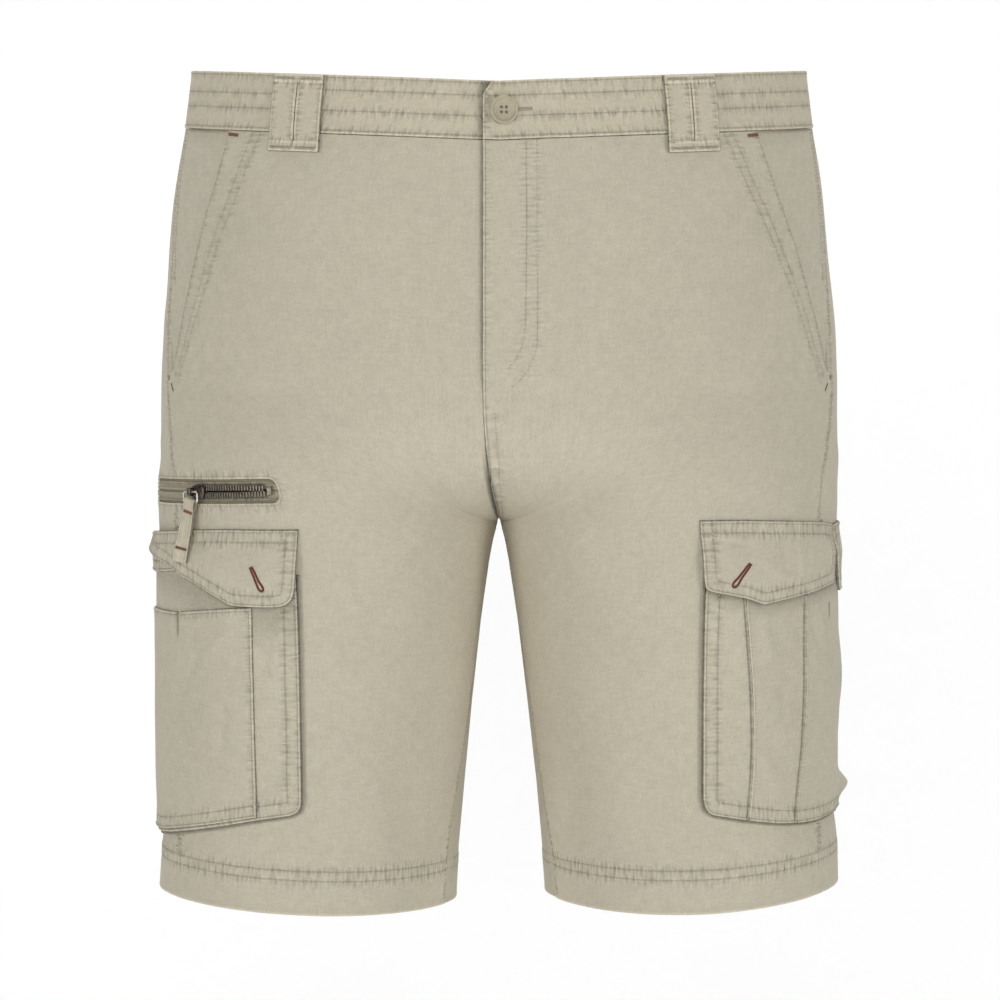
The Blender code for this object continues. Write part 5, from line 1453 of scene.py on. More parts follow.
# A piece's own creases: where each starts and ends, how wide it is, and how proud.
RIDGES = {
    "cargo_pocket_left": (
        (8.0, -330.0, -14.0, -372.0, 4.0, 1.1), (16.0, -334.0, 2.0, -366.0, 2.8, -0.9),
        (58.0, -336.0, 46.0, -372.0, 4.6, 0.9), (36.0, -372.0, 40.0, -412.0, 4.0, -0.8),
        (-20.0, -392.0, -6.0, -440.0, 4.4, 0.9), (84.0, -352.0, 80.0, -398.0, 3.4, -0.6),
        (56.0, -424.0, 38.0, -460.0, 4.0, 0.8), (-44.0, -352.0, -60.0, -408.0, 5.0, 1.0),
        (4.0, -452.0, 18.0, -474.0, 3.0, -0.7),
    ),
    "cargo_pocket_right": (
        (88.0, -340.0, 82.0, -384.0, 3.4, 0.8), (80.0, -392.0, 90.0, -436.0, 3.6, -0.7),
        (-50.0, -352.0, -64.0, -402.0, 5.0, 1.0), (94.0, -424.0, 84.0, -462.0, 3.0, 0.7),
    ),
    "phone_pocket": (
        (56.0, -344.0, 30.0, -366.0, 4.4, 1.0), (34.0, -352.0, 14.0, -392.0, 4.2, -0.9),
        (-4.0, -362.0, 8.0, -402.0, 4.4, 0.9), (50.0, -392.0, 44.0, -438.0, 4.6, -0.8),
        (18.0, -424.0, 36.0, -466.0, 4.2, 0.9), (-26.0, -360.0, -34.0, -412.0, 4.6, 0.8),
    ),
    "cargo_flap_right": (
        (42.0, -286.0, 88.0, -297.0, 3.6, 0.8), (52.0, -293.0, 78.0, -303.0, 2.6, -0.8),
        (30.0, -292.0, 58.0, -308.0, 3.0, 0.6), (92.0, -288.0, 98.0, -318.0, 2.6, -0.5),
        (8.0, -288.0, 24.0, -303.0, 2.4, -0.5), (70.0, -322.0, 90.0, -306.0, 2.6, 0.5),
        (-30.0, -289.0, -12.0, -300.0, 2.4, 0.5),
    ),
    "cargo_flap_left": (
        (98.0, -280.5, 64.0, -287.0, 2.0, 0.7), (92.0, -285.5, 70.0, -289.5, 1.7, -0.5),
        (104.0, -292.0, 86.0, -311.0, 2.6, 0.7), (44.0, -285.0, 40.0, -309.0, 2.8, -0.6),
        (30.0, -286.0, 26.0, -312.0, 2.4, 0.6), (14.0, -286.0, 6.0, -309.0, 2.4, -0.5),
        (62.0, -300.0, 34.0, -314.0, 3.0, 0.6),
    ),
}


def make_flap(flap):
    """A pocket's flap: sewn down at its top, its foot standing off over the pocket."""
    flat, _ = outline_grid(flap.columns, flap.lean, FLAP_STEP)
    sides, top = sewn_sides(flat)
    head = spline(top[2:-2], 4.0)
    rows = [*(inset(sides, line) for line in FLAP_LINES), head + (0.0, -1.7), head + (0.0, -8.0)]
    marks = mark(flat, [spline(sides, 2.0), top], rows, 3.4)
    u, v = flat[..., 0], flat[..., 1]
    near = LAYER_GAP + POCKET_CLOTH
    out = near + (flap.foot_out - near) * blend(top[:, 1] - 2.0, FLAP_OVER, v)
    if flap.lifted:  # where it crosses the flap behind it
        out = out + BACK_FLAP_LIFT * blend(30.0, 15.0, u)
    out = out + relief(flat, marks, flap.seed, 0.9, 0.4, 0.3)
    out = out + 0.3 * np.sin(u / 8.0 + flap.seed) * np.sin((v + 280) / 12.0 + 0.5)
    out = out + ridges(flat, RIDGES.get(flap.name, ()))
    dress(flap.name, flap.half, flat, out, POCKET_THICK, marks)
    sew(flap.name, flap.half, rows)


# ---------------------------------------------------------------- zip, pull and button

def matrix_of(x, y, z, place):
    """A frame from its three axes and its origin, in metres."""
    made = Matrix((x, y, z)).transposed().to_4x4()
    made.translation = Vector(place) * MM
    return made


def point_on(half, level, forward, out=0.0):
    """One point on the creased cloth, or a distance out of it."""
    level = np.array([float(level)])
    way = way_at(half, level, np.array([float(forward)]))
    return Vector(skin(half, level, way, np.array([float(out)]))[0])


def zip_frame(forward):
    """Axes on the zip at a place: forward along it, up the cloth, out of the cloth."""
    level = float(zip_height(forward))
    way = way_at(RIGHT, np.array([level]), np.array([forward]))
    outward = Vector(out_of(RIGHT, np.array([level]), way)[0])
    ahead, behind = (point_on(RIGHT, zip_height(place), place) for place in (forward + 4, forward - 4))
    along = ahead - behind
    along = (along - outward * along.dot(outward)).normalized()
    upward = outward.cross(along).normalized()
    if upward.z < 0:
        upward = -upward
    return matrix_of(along, upward, outward, point_on(RIGHT, level, forward))


def slider_frame():
    """Axes of the slider where it was drawn to, along the pull's axle."""
    return zip_frame(SLIDER_FORWARD) @ Matrix.Translation((SLIDER_SHIFT * MM, 0, 0))


def deselect():
    """Leave edit mode and select nothing."""
    if bpy.context.object and bpy.context.object.mode != "OBJECT":
        bpy.ops.object.mode_set(mode="OBJECT")
    bpy.ops.object.select_all(action="DESELECT")


def pick(test, kind="FACE"):
    """In edit mode, select the faces or vertices whose place and normal pass a test."""
    bpy.ops.mesh.select_mode(type=kind)
    bpy.ops.mesh.select_all(action="DESELECT")
    work = bmesh.from_edit_mesh(bpy.context.object.data)
    for part in (work.faces if kind == "FACE" else work.verts):
        place = part.calc_center_median() if kind == "FACE" else part.co
        part.select_set(bool(test(place, part.normal)))
    work.select_flush_mode()
    bmesh.update_edit_mesh(bpy.context.object.data)


def select_only(piece):
    """Select one piece and make it the active one."""
    deselect()
    piece.select_set(True)
    bpy.context.view_layer.objects.active = piece


def start_cube(name, size, place=(0, 0, 0)):
    """A new block of a size in millimetres, left in edit mode with all of it selected."""
    deselect()
    bpy.ops.mesh.primitive_cube_add(size=1.0, location=place)
    piece = bpy.context.object
    piece.name = name
    bpy.ops.object.mode_set(mode="EDIT")
    bpy.ops.transform.resize(value=[side * MM for side in size])
    return piece


def bevel_all(width, segments):
    """Round every edge of the piece in edit mode, and leave edit mode."""
    bpy.ops.mesh.select_all(action="SELECT")
    bpy.ops.mesh.bevel(offset=width * MM, segments=segments, affect="EDGES")
    bpy.ops.object.mode_set(mode="OBJECT")


def cut_out(piece, drill):
    """Cut a drill's shape out of a piece, and take the drill away."""
    cut = piece.modifiers.new("cut", "BOOLEAN")
    cut.operation, cut.object, cut.solver = "DIFFERENCE", drill, "EXACT"
    select_only(piece)
    bpy.ops.object.modifier_apply(modifier=cut.name)
    bpy.data.objects.remove(drill)


def place_piece(piece, place):
    """Write a piece's place into its mesh, its object left at the origin."""
    deselect()
    piece.data.transform(place @ piece.matrix_world)
    piece.matrix_world = Matrix.Identity(4)
    piece.data.update()


def smooth_shade(piece, degrees):
    """Smooth shading that keeps edges sharper than an angle."""
    select_only(piece)
    bpy.ops.object.shade_smooth_by_angle(angle=math.radians(degrees))


TAPE_ACROSS = (
    13.2, 11.0, 9.2, 8.5, 8.0, 7.5, 7.0, 6.5, 6.0, 5.5, 5.0, 4.4, 3.8, 3.2, 2.6, 2.0, 1.4, 1.0, 0.7, 0.15,
)


def make_tape():
    """The zip's woven tape: two lips that meet in a line darkened with painted shade, a little raised along it;
    painted shade also darkens the open chain's groove.
    """
    columns = np.linspace(ZIP_FRONT + 4.5, ZIP_BACK - 4.5, 150)
    across = np.array(TAPE_ACROSS)
    forward, offset = np.meshgrid(columns, np.concatenate([across, [0.0], -across[::-1]]))
    flat = np.stack([forward, zip_height(forward) + offset], axis=-1)
    slider = SLIDER_FORWARD + SLIDER_SHIFT
    behind = blend(slider - 4, slider - 10, forward)
    lip = np.exp(-((np.abs(offset) - 1.7) / 1.1) ** 2) * 1.5 * behind
    lip = lip + 0.10 * np.cos(2 * math.pi * offset / 1.8) * (1 - blend(4.4, 5.4, np.abs(offset)))
    rim = nearest(flat, window_edge(0.0))[0]
    inside = (np.abs(offset) < ZIP_WINDOW / 2) & (forward < ZIP_FRONT) & (forward > ZIP_BACK)
    lip = lip + np.where(inside, 1.7 * np.exp(-((rim - 1.5) / 0.8) ** 2), 0.0)
    slit = -1.1 * np.exp(-(offset / 0.45) ** 2)
    rows = [np.stack([columns, zip_height(columns) + side], 1) for side in (5.2, -5.2)]
    marks = mark(flat, [], rows, 1.5)
    # painted shade along the line where the lips meet
    marks = marks._replace(seam=np.minimum(marks.seam, np.abs(offset)),
                           edge=np.where(inside, np.abs(rim - 1.5), NO_MARK))
    opened = blend(slider, slider + 3, forward) * blend(CHAIN_END + 1, CHAIN_END - 4, forward)
    groove = opened * blend(1.0, 0.7, np.abs(offset))
    # painted shade in the groove where the chain stands open
    marks = marks._replace(edge=np.where(groove > 0.5, 0.0, marks.edge),
                           kept=2.3 * opened * blend(5.4, 4.2, np.abs(offset)))
    out = TAPE_OUT + lip + slit - 2.6 * groove
    dress("zip_tape", RIGHT, flat, out, TAPE_THICK, marks,
          slot="tape")


def make_teeth():
    """The closed chain: one tooth modelled, then copied in two rows that mesh, and joined."""
    tooth = start_cube("zip_teeth", (1.25, TOOTH_LENGTH - 0.9, 1.5))
    pick(lambda place, normal: normal.y < -0.5)
    bpy.ops.transform.resize(value=(0.6, 1.0, 0.75))
    bpy.ops.mesh.extrude_region_move(TRANSFORM_OT_translate={"value": (0, -0.9 * MM, 0)})
    bpy.ops.transform.resize(value=(1.5, 1.0, 1.0))
    pick(lambda place, normal: normal.y > 0.5)
    bpy.ops.transform.resize(value=(0.7, 1.0, 0.7))
    bevel_all(0.16, 1)
    pattern = tooth.data
    places = []
    start, end = SLIDER_FORWARD + SLIDER_SHIFT + 5.5, CHAIN_END
    for k in range(int((end - start) / TOOTH_PITCH)):
        for side in (1, -1):
            forward = start + TOOTH_PITCH * (k + (0.5 if side < 0 else 0.0))
            turn = Matrix.Identity(4) if side > 0 else Matrix.Rotation(math.pi, 4, "Z")
            apart = TOOTH_LENGTH / 2 + 0.45 + CHAIN_SLIT * float(blend(end, end - 30, forward))
            shift = Matrix.Translation((0, side * apart * MM, (CHAIN_OUT + 0.15) * MM))
            places.append(zip_frame(forward) @ shift @ turn)
    copies = []
    for k, place in enumerate(places):
        copy = bpy.data.objects.new(f"tooth_{k}", pattern.copy())
        bpy.context.scene.collection.objects.link(copy)
        copy.data.transform(place)
        copies.append(copy)
    deselect()
    bpy.data.objects.remove(tooth)
    for copy in copies:
        copy.select_set(True)
    bpy.context.view_layer.objects.active = copies[0]
    bpy.ops.object.join()
    piece = bpy.context.object
    piece.name = "zip_teeth"
    smooth_shade(piece, 35)
    wear(piece, "shorts", "rubbed_nickel", "zip_chain")


def make_stops():
    """The cast stop that closes the chain's front end."""
    piece = start_cube("zip_stop", (3.4, 5.6, 1.8))
    pick(lambda place, normal: normal.z > 0.5)
    bpy.ops.mesh.inset(thickness=0.35 * MM, depth=0.25 * MM)
    bevel_all(0.25, 2)
    place_piece(piece, zip_frame(CHAIN_END + 1.2) @ Matrix.Translation((0, 0, (CHAIN_OUT + 0.2) * MM)))
    smooth_shade(piece, 35)
    piece.data.materials.append(finish_named("rubbed_nickel"))
    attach(piece, "shorts")


def make_slider():
    """The slider: a cast body that narrows to its nose, with a ridge and the bridge that holds the ring."""
    body = start_cube("zip_slider_body", (13.0, 10.0, 2.4), (0, 0, 1.0 * MM))
    bpy.ops.mesh.subdivide(number_cuts=3)
    narrowed = ((-1, 3, (1.0, 0.82, 1.0)), (-1, 6, (1.0, 0.76, 0.8)), (1, 6, (1.0, 0.72, 0.85)))
    for sign, past, narrower in narrowed:
        pick(lambda place, normal, s=sign, limit=past: s * place.x > limit * MM, "VERT")
        bpy.ops.transform.resize(value=narrower)
    pick(lambda place, normal: normal.z > 0.5 and abs(place.y) < 2.6 * MM and abs(place.x) < 5 * MM)
    bpy.ops.mesh.inset(thickness=0.5 * MM, depth=0.45 * MM)
    bpy.ops.mesh.select_all(action="SELECT")
    bpy.ops.object.mode_set(mode="OBJECT")
    soften = body.modifiers.new("soften", "SUBSURF")
    soften.levels = soften.render_levels = 1
    bpy.ops.object.modifier_apply(modifier=soften.name)
    bridge = start_cube("zip_slider_bridge", (3.0, 5.4, 3.8), (BRIDGE_OFFSET * MM, 0, 3.7 * MM))
    bevel_all(0.7, 3)
    deselect()
    bpy.ops.mesh.primitive_cylinder_add(vertices=24, radius=0.95 * MM, depth=12 * MM,
                                        location=(BRIDGE_OFFSET * MM, 0, (SLIDER_TOP + PULL_HEIGHT) * MM),
                                        rotation=(0, math.pi / 2, 0))
    drill = bpy.context.object
    drill.scale = (1.2, 1.7, 1.0)
    cut_out(bridge, drill)
    body.select_set(True)
    bpy.context.view_layer.objects.active = body
    bpy.ops.object.join()
    piece = bpy.context.object
    piece.name = "zip_slider_cast"
    place_piece(piece, slider_frame())
    smooth_shade(piece, 40)
    wear(piece, "shorts", "black_nickel", "zip_slider")


def pull_frame():
    """Axes of the pull where it hangs: along the zip, against its hang, out of the cloth."""
    slider = slider_frame()
    axle = slider @ Vector((BRIDGE_OFFSET * MM, 0, (SLIDER_TOP + PULL_HEIGHT) * MM))
    along = (slider.to_3x3() @ Vector((1, 0, 0))).normalized()
    hang = point_on(RIGHT, TAB_END_HEIGHT, TAB_END_FORWARD, TAB_END_OUT) * MM - axle
    hang = (hang - along * hang.dot(along)).normalized()
    outward = along.cross(-hang).normalized()
    if outward.dot(slider.to_3x3() @ Vector((0, 0, 1))) < 0:
        outward = -outward
    return matrix_of(along, -hang, outward, axle / MM)


def make_ring(place):
    """The pull's wire ring: a torus drawn out to a rounded oblong, its top bar through the bridge."""
    deselect()
    bpy.ops.mesh.primitive_torus_add(major_segments=48, minor_segments=14, major_radius=RING_CORNER * MM,
                                     minor_radius=RING_WIRE / 2 * MM, location=(0, 0, 0))
    piece = bpy.context.object
    piece.name = "pull_ring_wire"
    bpy.ops.object.mode_set(mode="EDIT")
    bpy.ops.mesh.select_all(action="SELECT")
    bpy.ops.transform.rotate(value=math.radians(3.75), orient_axis="Z", center_override=(0, 0, 0))
    side = ((RING_WIDTH - RING_WIRE) / 2 - RING_CORNER) * MM
    for sign in (1, -1):
        pick(lambda spot, normal, s=sign: s * spot.x > 0, "VERT")
        bpy.ops.transform.translate(value=(sign * side, 0, 0))
    pick(lambda spot, normal: spot.y < 0, "VERT")
    bpy.ops.transform.translate(value=(0, -(RING_DROP - 2 * RING_CORNER) * MM, 0))
    bpy.ops.mesh.select_all(action="SELECT")
    bpy.ops.transform.translate(value=(0, -RING_CORNER * MM, 0))
    bpy.ops.object.mode_set(mode="OBJECT")
    place_piece(piece, place)
    smooth_shade(piece, 60)
    wear(piece, "zip_pull", "nickel_wire", "pull_ring")


def make_tab(place):
    """The pull's cloth tape, folded round the ring and sewn down in two places."""
    turns = np.linspace(0, math.pi, 13)
    thick = TAB_CLOTH

    def twisted(x, low, off):
        """A place on the tape once it has turned toward its foot."""
        share = float(blend(0.0, -TAB_LENGTH, low))
        turn = math.radians(TAB_TWIST * share)
        return Vector((x * math.cos(turn) + off * math.sin(turn), low,
                       off * math.cos(turn) - x * math.sin(turn) + TAB_LIFT * share))

    def middle(side):
        """The middle of one layer, from its foot up to the ring's eye."""
        lows = np.linspace(-TAB_LENGTH, -TAB_EYE_FOOT - TAB_EYE_TAPER, 26)
        closed = (TAB_LAYER_GAP + thick) / 2
        layer = [(low, side * closed) for low in lows]
        return layer + [(-TAB_EYE_FOOT, side * (TAB_EYE + thick / 2))]

    bend = TAB_EYE + thick / 2
    eye = [(TAB_EYE_TOP + bend * math.sin(turn), bend * math.cos(turn)) for turn in turns]
    line = np.array(middle(1) + eye + middle(-1)[::-1])
    outward = left_of(line)
    across = TAB_WIDTH * (edge_steps(TAB_WIDTH, (0.35, 0.8, 1.4), 1.0) - 0.5)
    length = np.concatenate([[0.0], np.cumsum(np.linalg.norm(np.diff(line, axis=0), axis=1))])
    points, flat, marks = [], [], {field: [] for field in Marks._fields}
    for sign in (1, -1):
        for k, (low, off) in enumerate(line):
            for reach in across:
                edge = TAB_WIDTH / 2 - abs(reach)
                worn = 0.16 * math.exp(-(edge / 0.5) ** 2) + 0.10 * math.exp(-((edge - 1.6) / 0.5) ** 2)
                drawn = sum(math.exp(-((-low - bar) / 1.4) ** 2) for bar in TAB_BARS)
                depth = sign * (thick / 2 - worn - 0.05 * drawn)
                spot = (low, off) + outward[k] * depth
                slim = 1 - 0.05 * drawn + 0.02 * math.sin(low / 3.0)
                points.append(twisted(reach * slim, spot[0], spot[1]))
                flat.append((reach, length[k]))
                marks["edge"].append(edge)
                marks["seam"].append(abs(edge - 1.6))
                marks["pucker_u"].append(0.0)
                marks["pucker_v"].append(0.5 * math.exp(-((edge - 1.6) / 1.5) ** 2))
                marks["kept"].append(0.0)
    rows, columns = len(line), len(across)
    count = rows * columns
    faces, ring = [], []
    for i in range(rows - 1):
        for j in range(columns - 1):
            a = i * columns + j
            faces.append((a, a + columns, a + columns + 1, a + 1))
            faces.append((count + a + 1, count + a + columns + 1, count + a + columns, count + a))
    for i in range(rows - 1):
        for j, turned in ((0, False), (columns - 1, True)):
            a, b = i * columns + j, (i + 1) * columns + j
            ring.append((b, count + b, count + a, a) if turned else (a, count + a, count + b, b))
    for j in range(columns - 1):
        for i, turned in ((0, True), (rows - 1, False)):
            a, b = i * columns + j, i * columns + j + 1
            ring.append((b, count + b, count + a, a) if turned else (a, count + a, count + b, b))
    lean = Matrix.Translation((0, -RING_DROP, 0)) @ Matrix.Rotation(math.radians(TAB_LEAN), 4, "Z")
    whole = np.array([lean @ Vector(p) for p in points])
    marks = {field: np.array(values) for field, values in marks.items()}
    faces += ring
    piece = finish_mesh("pull_tab_cloth", whole, faces, np.ones(len(faces), bool), np.array(flat), marks)
    face_outward(piece)
    piece.data.transform(place)
    smooth_shade(piece, 50)
    wear(piece, "zip_pull", "pull_cloth", "pull_tab")
    starts, ends, outs = [], [], []
    for bar in TAB_BARS:
        for spot in np.arange(-4.1, 4.11, 0.42):
            for side in (1, -1):
                height = (TAB_LAYER_GAP / 2 + thick + 0.02) * side
                starts.append(lean @ twisted(spot, -bar - 1.2, height))
                ends.append(lean @ twisted(spot + 0.15, -bar + 1.2, height))
                outs.append(twisted(0, -bar, side) - twisted(0, -bar, 0))
    sides = (np.array(side) for side in (starts, ends, outs))
    stitch_mesh("pull_tab_tacks", *sides, 0.5, "tack_thread", "pull_cloth", "zip_pull", place)


def button_frame():
    """Axes of the button on the lap of the band: across, up, out of the cloth."""
    way = way_of_x(0.0, BUTTON_X)
    outward = Vector(out_of(LEFT, np.array([0.0]), np.array([way]))[0])
    across = Vector((0, 0, 1)).cross(outward).normalized()
    front = plain_point(LEFT, np.array([0.0]), np.array([way]))[0]
    place = Vector(front) + outward * (BAND_OUT + BAND_LAP_LIFT + BUTTON_GAP)
    return matrix_of(across, outward.cross(across), outward, place)


def make_button():
    """The waist button: a turned disc with a raised rim, a dished middle and four holes."""
    deselect()
    radius, thick = BUTTON_ACROSS / 2 * MM, BUTTON_THICK * MM
    bpy.ops.mesh.primitive_cylinder_add(vertices=64, radius=radius, depth=thick, location=(0, 0, thick / 2))
    piece = bpy.context.object
    piece.name = "waist_button_turned"
    bpy.ops.object.mode_set(mode="EDIT")
    pick(lambda place, normal: normal.z > 0.9)
    bpy.ops.mesh.inset(thickness=0.7 * MM, depth=0)
    bpy.ops.mesh.inset(thickness=1.0 * MM, depth=0)
    bpy.ops.mesh.inset(thickness=0.6 * MM, depth=-1.1 * MM)
    bpy.ops.mesh.inset(thickness=2.4 * MM, depth=-0.35 * MM)
    pick(lambda place, normal: normal.z < -0.9)
    bpy.ops.mesh.inset(thickness=1.4 * MM, depth=0.0)
    bpy.ops.mesh.select_all(action="SELECT")
    bpy.ops.object.mode_set(mode="OBJECT")
    edge = piece.modifiers.new("edge", "BEVEL")
    edge.width, edge.segments, edge.limit_method, edge.angle_limit = 0.5 * MM, 3, "ANGLE", math.radians(24)
    bpy.ops.object.modifier_apply(modifier=edge.name)
    spread = BUTTON_HOLE_SPACING / 2 * MM
    for x, y in ((spread, spread), (-spread, spread), (-spread, -spread), (spread, -spread)):
        deselect()
        bpy.ops.mesh.primitive_cylinder_add(vertices=20, radius=BUTTON_HOLE / 2 * MM, depth=thick * 3,
                                            location=(x, y, thick / 2))
        cut_out(piece, bpy.context.object)
    place = button_frame() @ Matrix.Rotation(math.radians(BUTTON_TURN), 4, "Y")
    place_piece(piece, place)
    smooth_shade(piece, 35)
    wear(piece, "shorts", "cast_resin", "waist_button")
    starts, ends, outs = [], [], []
    lower, reach = BUTTON_THICK - 1.6, BUTTON_HOLE_SPACING / 2
    for side in (1, -1):
        for shift in (-0.3, 0.3):
            for made, end in ((starts, 1), (ends, -1)):
                made.append(Vector((side * reach + shift, end * (reach - 0.2), lower)) * MM)
            outs.append(Vector((0, 0, 1)))
    cross = [np.array([place @ v for v in side]) / MM for side in (starts, ends)]
    turned = np.array([place.to_3x3() @ v for v in outs])
    stitch_mesh("waist_button_thread", *cross, turned, 0.4, "spun_thread", "button")


# The keyhole buttonholes: where each starts and ends; and one half of the outline, along and off its line.
BUTTONHOLES = {
    "cargo_flap_right": ((74.6, -303.9), (81.5, -319.8)),
    "cargo_flap_left": ((71.3, -301.4), (81.6, -316.9)),
}
KEYHOLE = ((0.6, 0.0), (1.0, 0.8), (6.0, 0.95), (10.5, 1.1), (13.2, 1.5), (15.4, 1.3), (16.4, 0.0))
KEYHOLE_LENGTH = 17.0


def make_tacks():
    """Red-brown bar tacks at the pocket ends and keyhole buttonholes on the flaps."""
    tacks = []
    for half in (LEFT, RIGHT):
        front, back = node_of("front", half), node_of("back", half)
        top = float(slant_edge(half, -21.5))
        tacks.append(Tack(half, (top + 0.9, -21.6), (top + 9.8, -22.0), 2.6, [front]))
        tacks.append(Tack(half, (3.0, -177.5), (3.2, -185.5), 1.6, [front, back]))
        tacks.append(Tack(half, (8.4, -188.0), (12.6, -192.6), 1.6, [front]))
    worked = []
    for name, (high, low) in BUTTONHOLES.items():
        half = RIGHT if name.endswith("right") else LEFT
        axis = np.array(low) - np.array(high)
        size = np.linalg.norm(axis)
        axis /= size
        side = np.array([-axis[1], axis[0]])
        loop = []
        for along, off in (*KEYHOLE, *((along, -off) for along, off in KEYHOLE[-2::-1])):
            loop.append(np.array(high) + axis * along * size / KEYHOLE_LENGTH + side * off)
        worked.append(Tack(half, np.array(loop), None, 2.0, [name]))
        worked.append(Tack(half, np.array(high) + side * 1.3, np.array(high) - side * 1.3, 1.2, [name]))
    stitch_mesh("bar_tacks", *satin(tacks), 0.5, "tack_thread", "canvas")
    stitch_mesh("flap_buttonholes", *satin(worked), 0.5, "buttonhole_thread", "canvas")
    hole = [(float(forward_at(LEFT, 0.0, way_of_x(0.0, x))), 0.0) for x in (9.6, 21.0)]
    plain = [Tack(LEFT, *hole, 3.0, ["waistband_left"])]
    for name, half, middle in LOOP_PAIRS:
        for label, sign in (("a", 1), ("b", -1)):
            for level in (16.2, -29.2):
                centre = float(forward_at(half, level, middle))
                ends = (LOOP_SLIT / 2 + 2.2, LOOP_SLIT / 2 + LOOP_WIDTH - 2.2)
                near, far = (centre + sign * end for end in ends)
                plain.append(Tack(half, (near, level), (far, level), 1.5, [f"belt_loop_{name}_{label}"]))
    stitch_mesh("cloth_coloured_tacks", *satin(plain), 0.45, "spun_thread", "canvas_shade")


# ---------------------------------------------------------------- the stage

CAMERA_PLACE, CAMERA_TILT, LENS, SENSOR_WIDTH = (0.00067, -3.5, -0.06), 86.6, 188.06, 36.0
SWEEP_FRONT, SWEEP_BACK, SWEEP_RADIUS, SWEEP_TOP, SWEEP_SIDE = -6.0, 2.2, 0.9, 3.2, 4.5
# Each soft lamp's name, place, what it looks at, its two sides, and its share of the key light's power.
LAMPS = (
    ("key", (-0.2, -3.2, 0.45), (0, 0, -0.25), (1.0, 0.9), 1.0),
    ("side_left", (2.1, -2.2, -0.2), (0, 0, -0.25), (0.8, 0.7), 0.68),
    ("side_right", (-2.1, -2.2, -0.2), (0, 0, -0.25), (0.8, 0.7), 0.56),
    ("top", (0.0, 0.1, 2.2), (0, 0, 0), (2.0, 1.2), 0.6),
)


def soft_light(name, place, aim, size, power):
    """A broad soft lamp that looks at a point."""
    lamp = bpy.data.lights.new(name, "AREA")
    lamp.shape, lamp.size, lamp.size_y = "RECTANGLE", size[0], size[1]
    lamp.energy = power
    made = bpy.data.objects.new(name, lamp)
    bpy.context.scene.collection.objects.link(made)
    made.location = place
    made.rotation_euler = (Vector(aim) - Vector(place)).to_track_quat("-Z", "Y").to_euler()


def make_stage():
    """A pale sweep of floor and wall, even soft light, and the camera."""
    scene = bpy.context.scene
    stage = scene.shorts_stage
    floor, bend = stage.floor_height, SWEEP_BACK - SWEEP_RADIUS
    profile = [(SWEEP_FRONT, floor), (bend, floor)]
    for turn in range(0, 91, 6):
        angle = math.radians(turn)
        profile.append((bend + SWEEP_RADIUS * math.sin(angle), floor + SWEEP_RADIUS * (1 - math.cos(angle))))
    profile.append((SWEEP_BACK, SWEEP_TOP))
    points = [(x, y, z) for x in (-SWEEP_SIDE, SWEEP_SIDE) for y, z in profile]
    count = len(profile)
    faces = [(k, k + 1, k + 1 + count, k + count) for k in range(count - 1)]
    mesh = bpy.data.meshes.new("studio_sweep")
    mesh.from_pydata(points, [], [face[::-1] for face in faces])
    mesh.polygons.foreach_set("use_smooth", [True] * len(faces))
    mesh.materials.append(painted_wall("painted_board", "#F7F7F7"))
    sweep = bpy.data.objects.new("studio_sweep", mesh)
    scene.collection.objects.link(sweep)
    world = bpy.data.worlds.new("studio")
    world.use_nodes = True
    world.node_tree.nodes["Background"].inputs["Color"].default_value = (1.0, 1.0, 1.0, 1.0)
    world.node_tree.nodes["Background"].inputs["Strength"].default_value = stage.fill_light
    scene.world = world
    for name, place, aim, size, share in LAMPS:
        soft_light(name, place, aim, size, stage.key_light * share)
    soft_light("wall_wash", (0.0, 0.5, 2.6), (0, 2.2, -0.2), (4.0, 1.0), stage.wall_light)
    camera = bpy.data.cameras.new("camera")
    camera.lens, camera.sensor_width = LENS, SENSOR_WIDTH
    made = bpy.data.objects.new("camera", camera)
    scene.collection.objects.link(made)
    made.location = CAMERA_PLACE
    made.rotation_euler = (math.radians(CAMERA_TILT), 0, 0)
    scene.camera = made
    scene.view_settings.view_transform = "Standard"


# ---------------------------------------------------------------- the add-on

def hex_property(name, description, colour):
    """A colour property from a hex sRGB colour."""
    return bpy.props.FloatVectorProperty(
        name=name, description=description, default=channels(colour), size=3, min=0.0, max=1.0,
        subtype="COLOR_GAMMA")


class ShortsColours(bpy.types.PropertyGroup):
    """Colours of the cloth and fittings."""
    canvas: hex_property("Canvas", "Main cloth", "#BDB6A3")
    doubled: hex_property("Doubled canvas", "Band, loops and gussets", "#C1B9A4")
    tape: hex_property("Zip tape", "Woven tape of the zip", "#9D9580")
    pull: hex_property("Pull tape", "Cloth of the zip's pull", "#BEB6A1")
    thread: hex_property("Thread", "Topstitching thread", "#AFA792")
    tack: hex_property("Tack thread", "Bar tacks", "#7F5746")
    hole: hex_property("Buttonhole thread", "Flap buttonholes", "#743D2E")
    metal: hex_property("Metal", "Zip slider", "#625C53")
    wire: hex_property("Wire", "The pull's ring, rubbed bright", "#D6D1C6")
    teeth: hex_property("Teeth", "The zip's teeth and stop, rubbed paler", "#8A8376")
    button: hex_property("Button", "Waist button", "#ACA38A")


class ShortsSewing(bpy.types.PropertyGroup):
    """Sizes of the topstitching."""
    stitch_length: bpy.props.FloatProperty(
        name="Stitch length", description="Length of one stitch", default=0.0018, min=0.0015, max=0.006,
        subtype="DISTANCE", unit="LENGTH")
    thread_width: bpy.props.FloatProperty(
        name="Thread width", description="Thickness of the thread", default=0.0005, min=0.0002, max=0.0012,
        subtype="DISTANCE", unit="LENGTH")


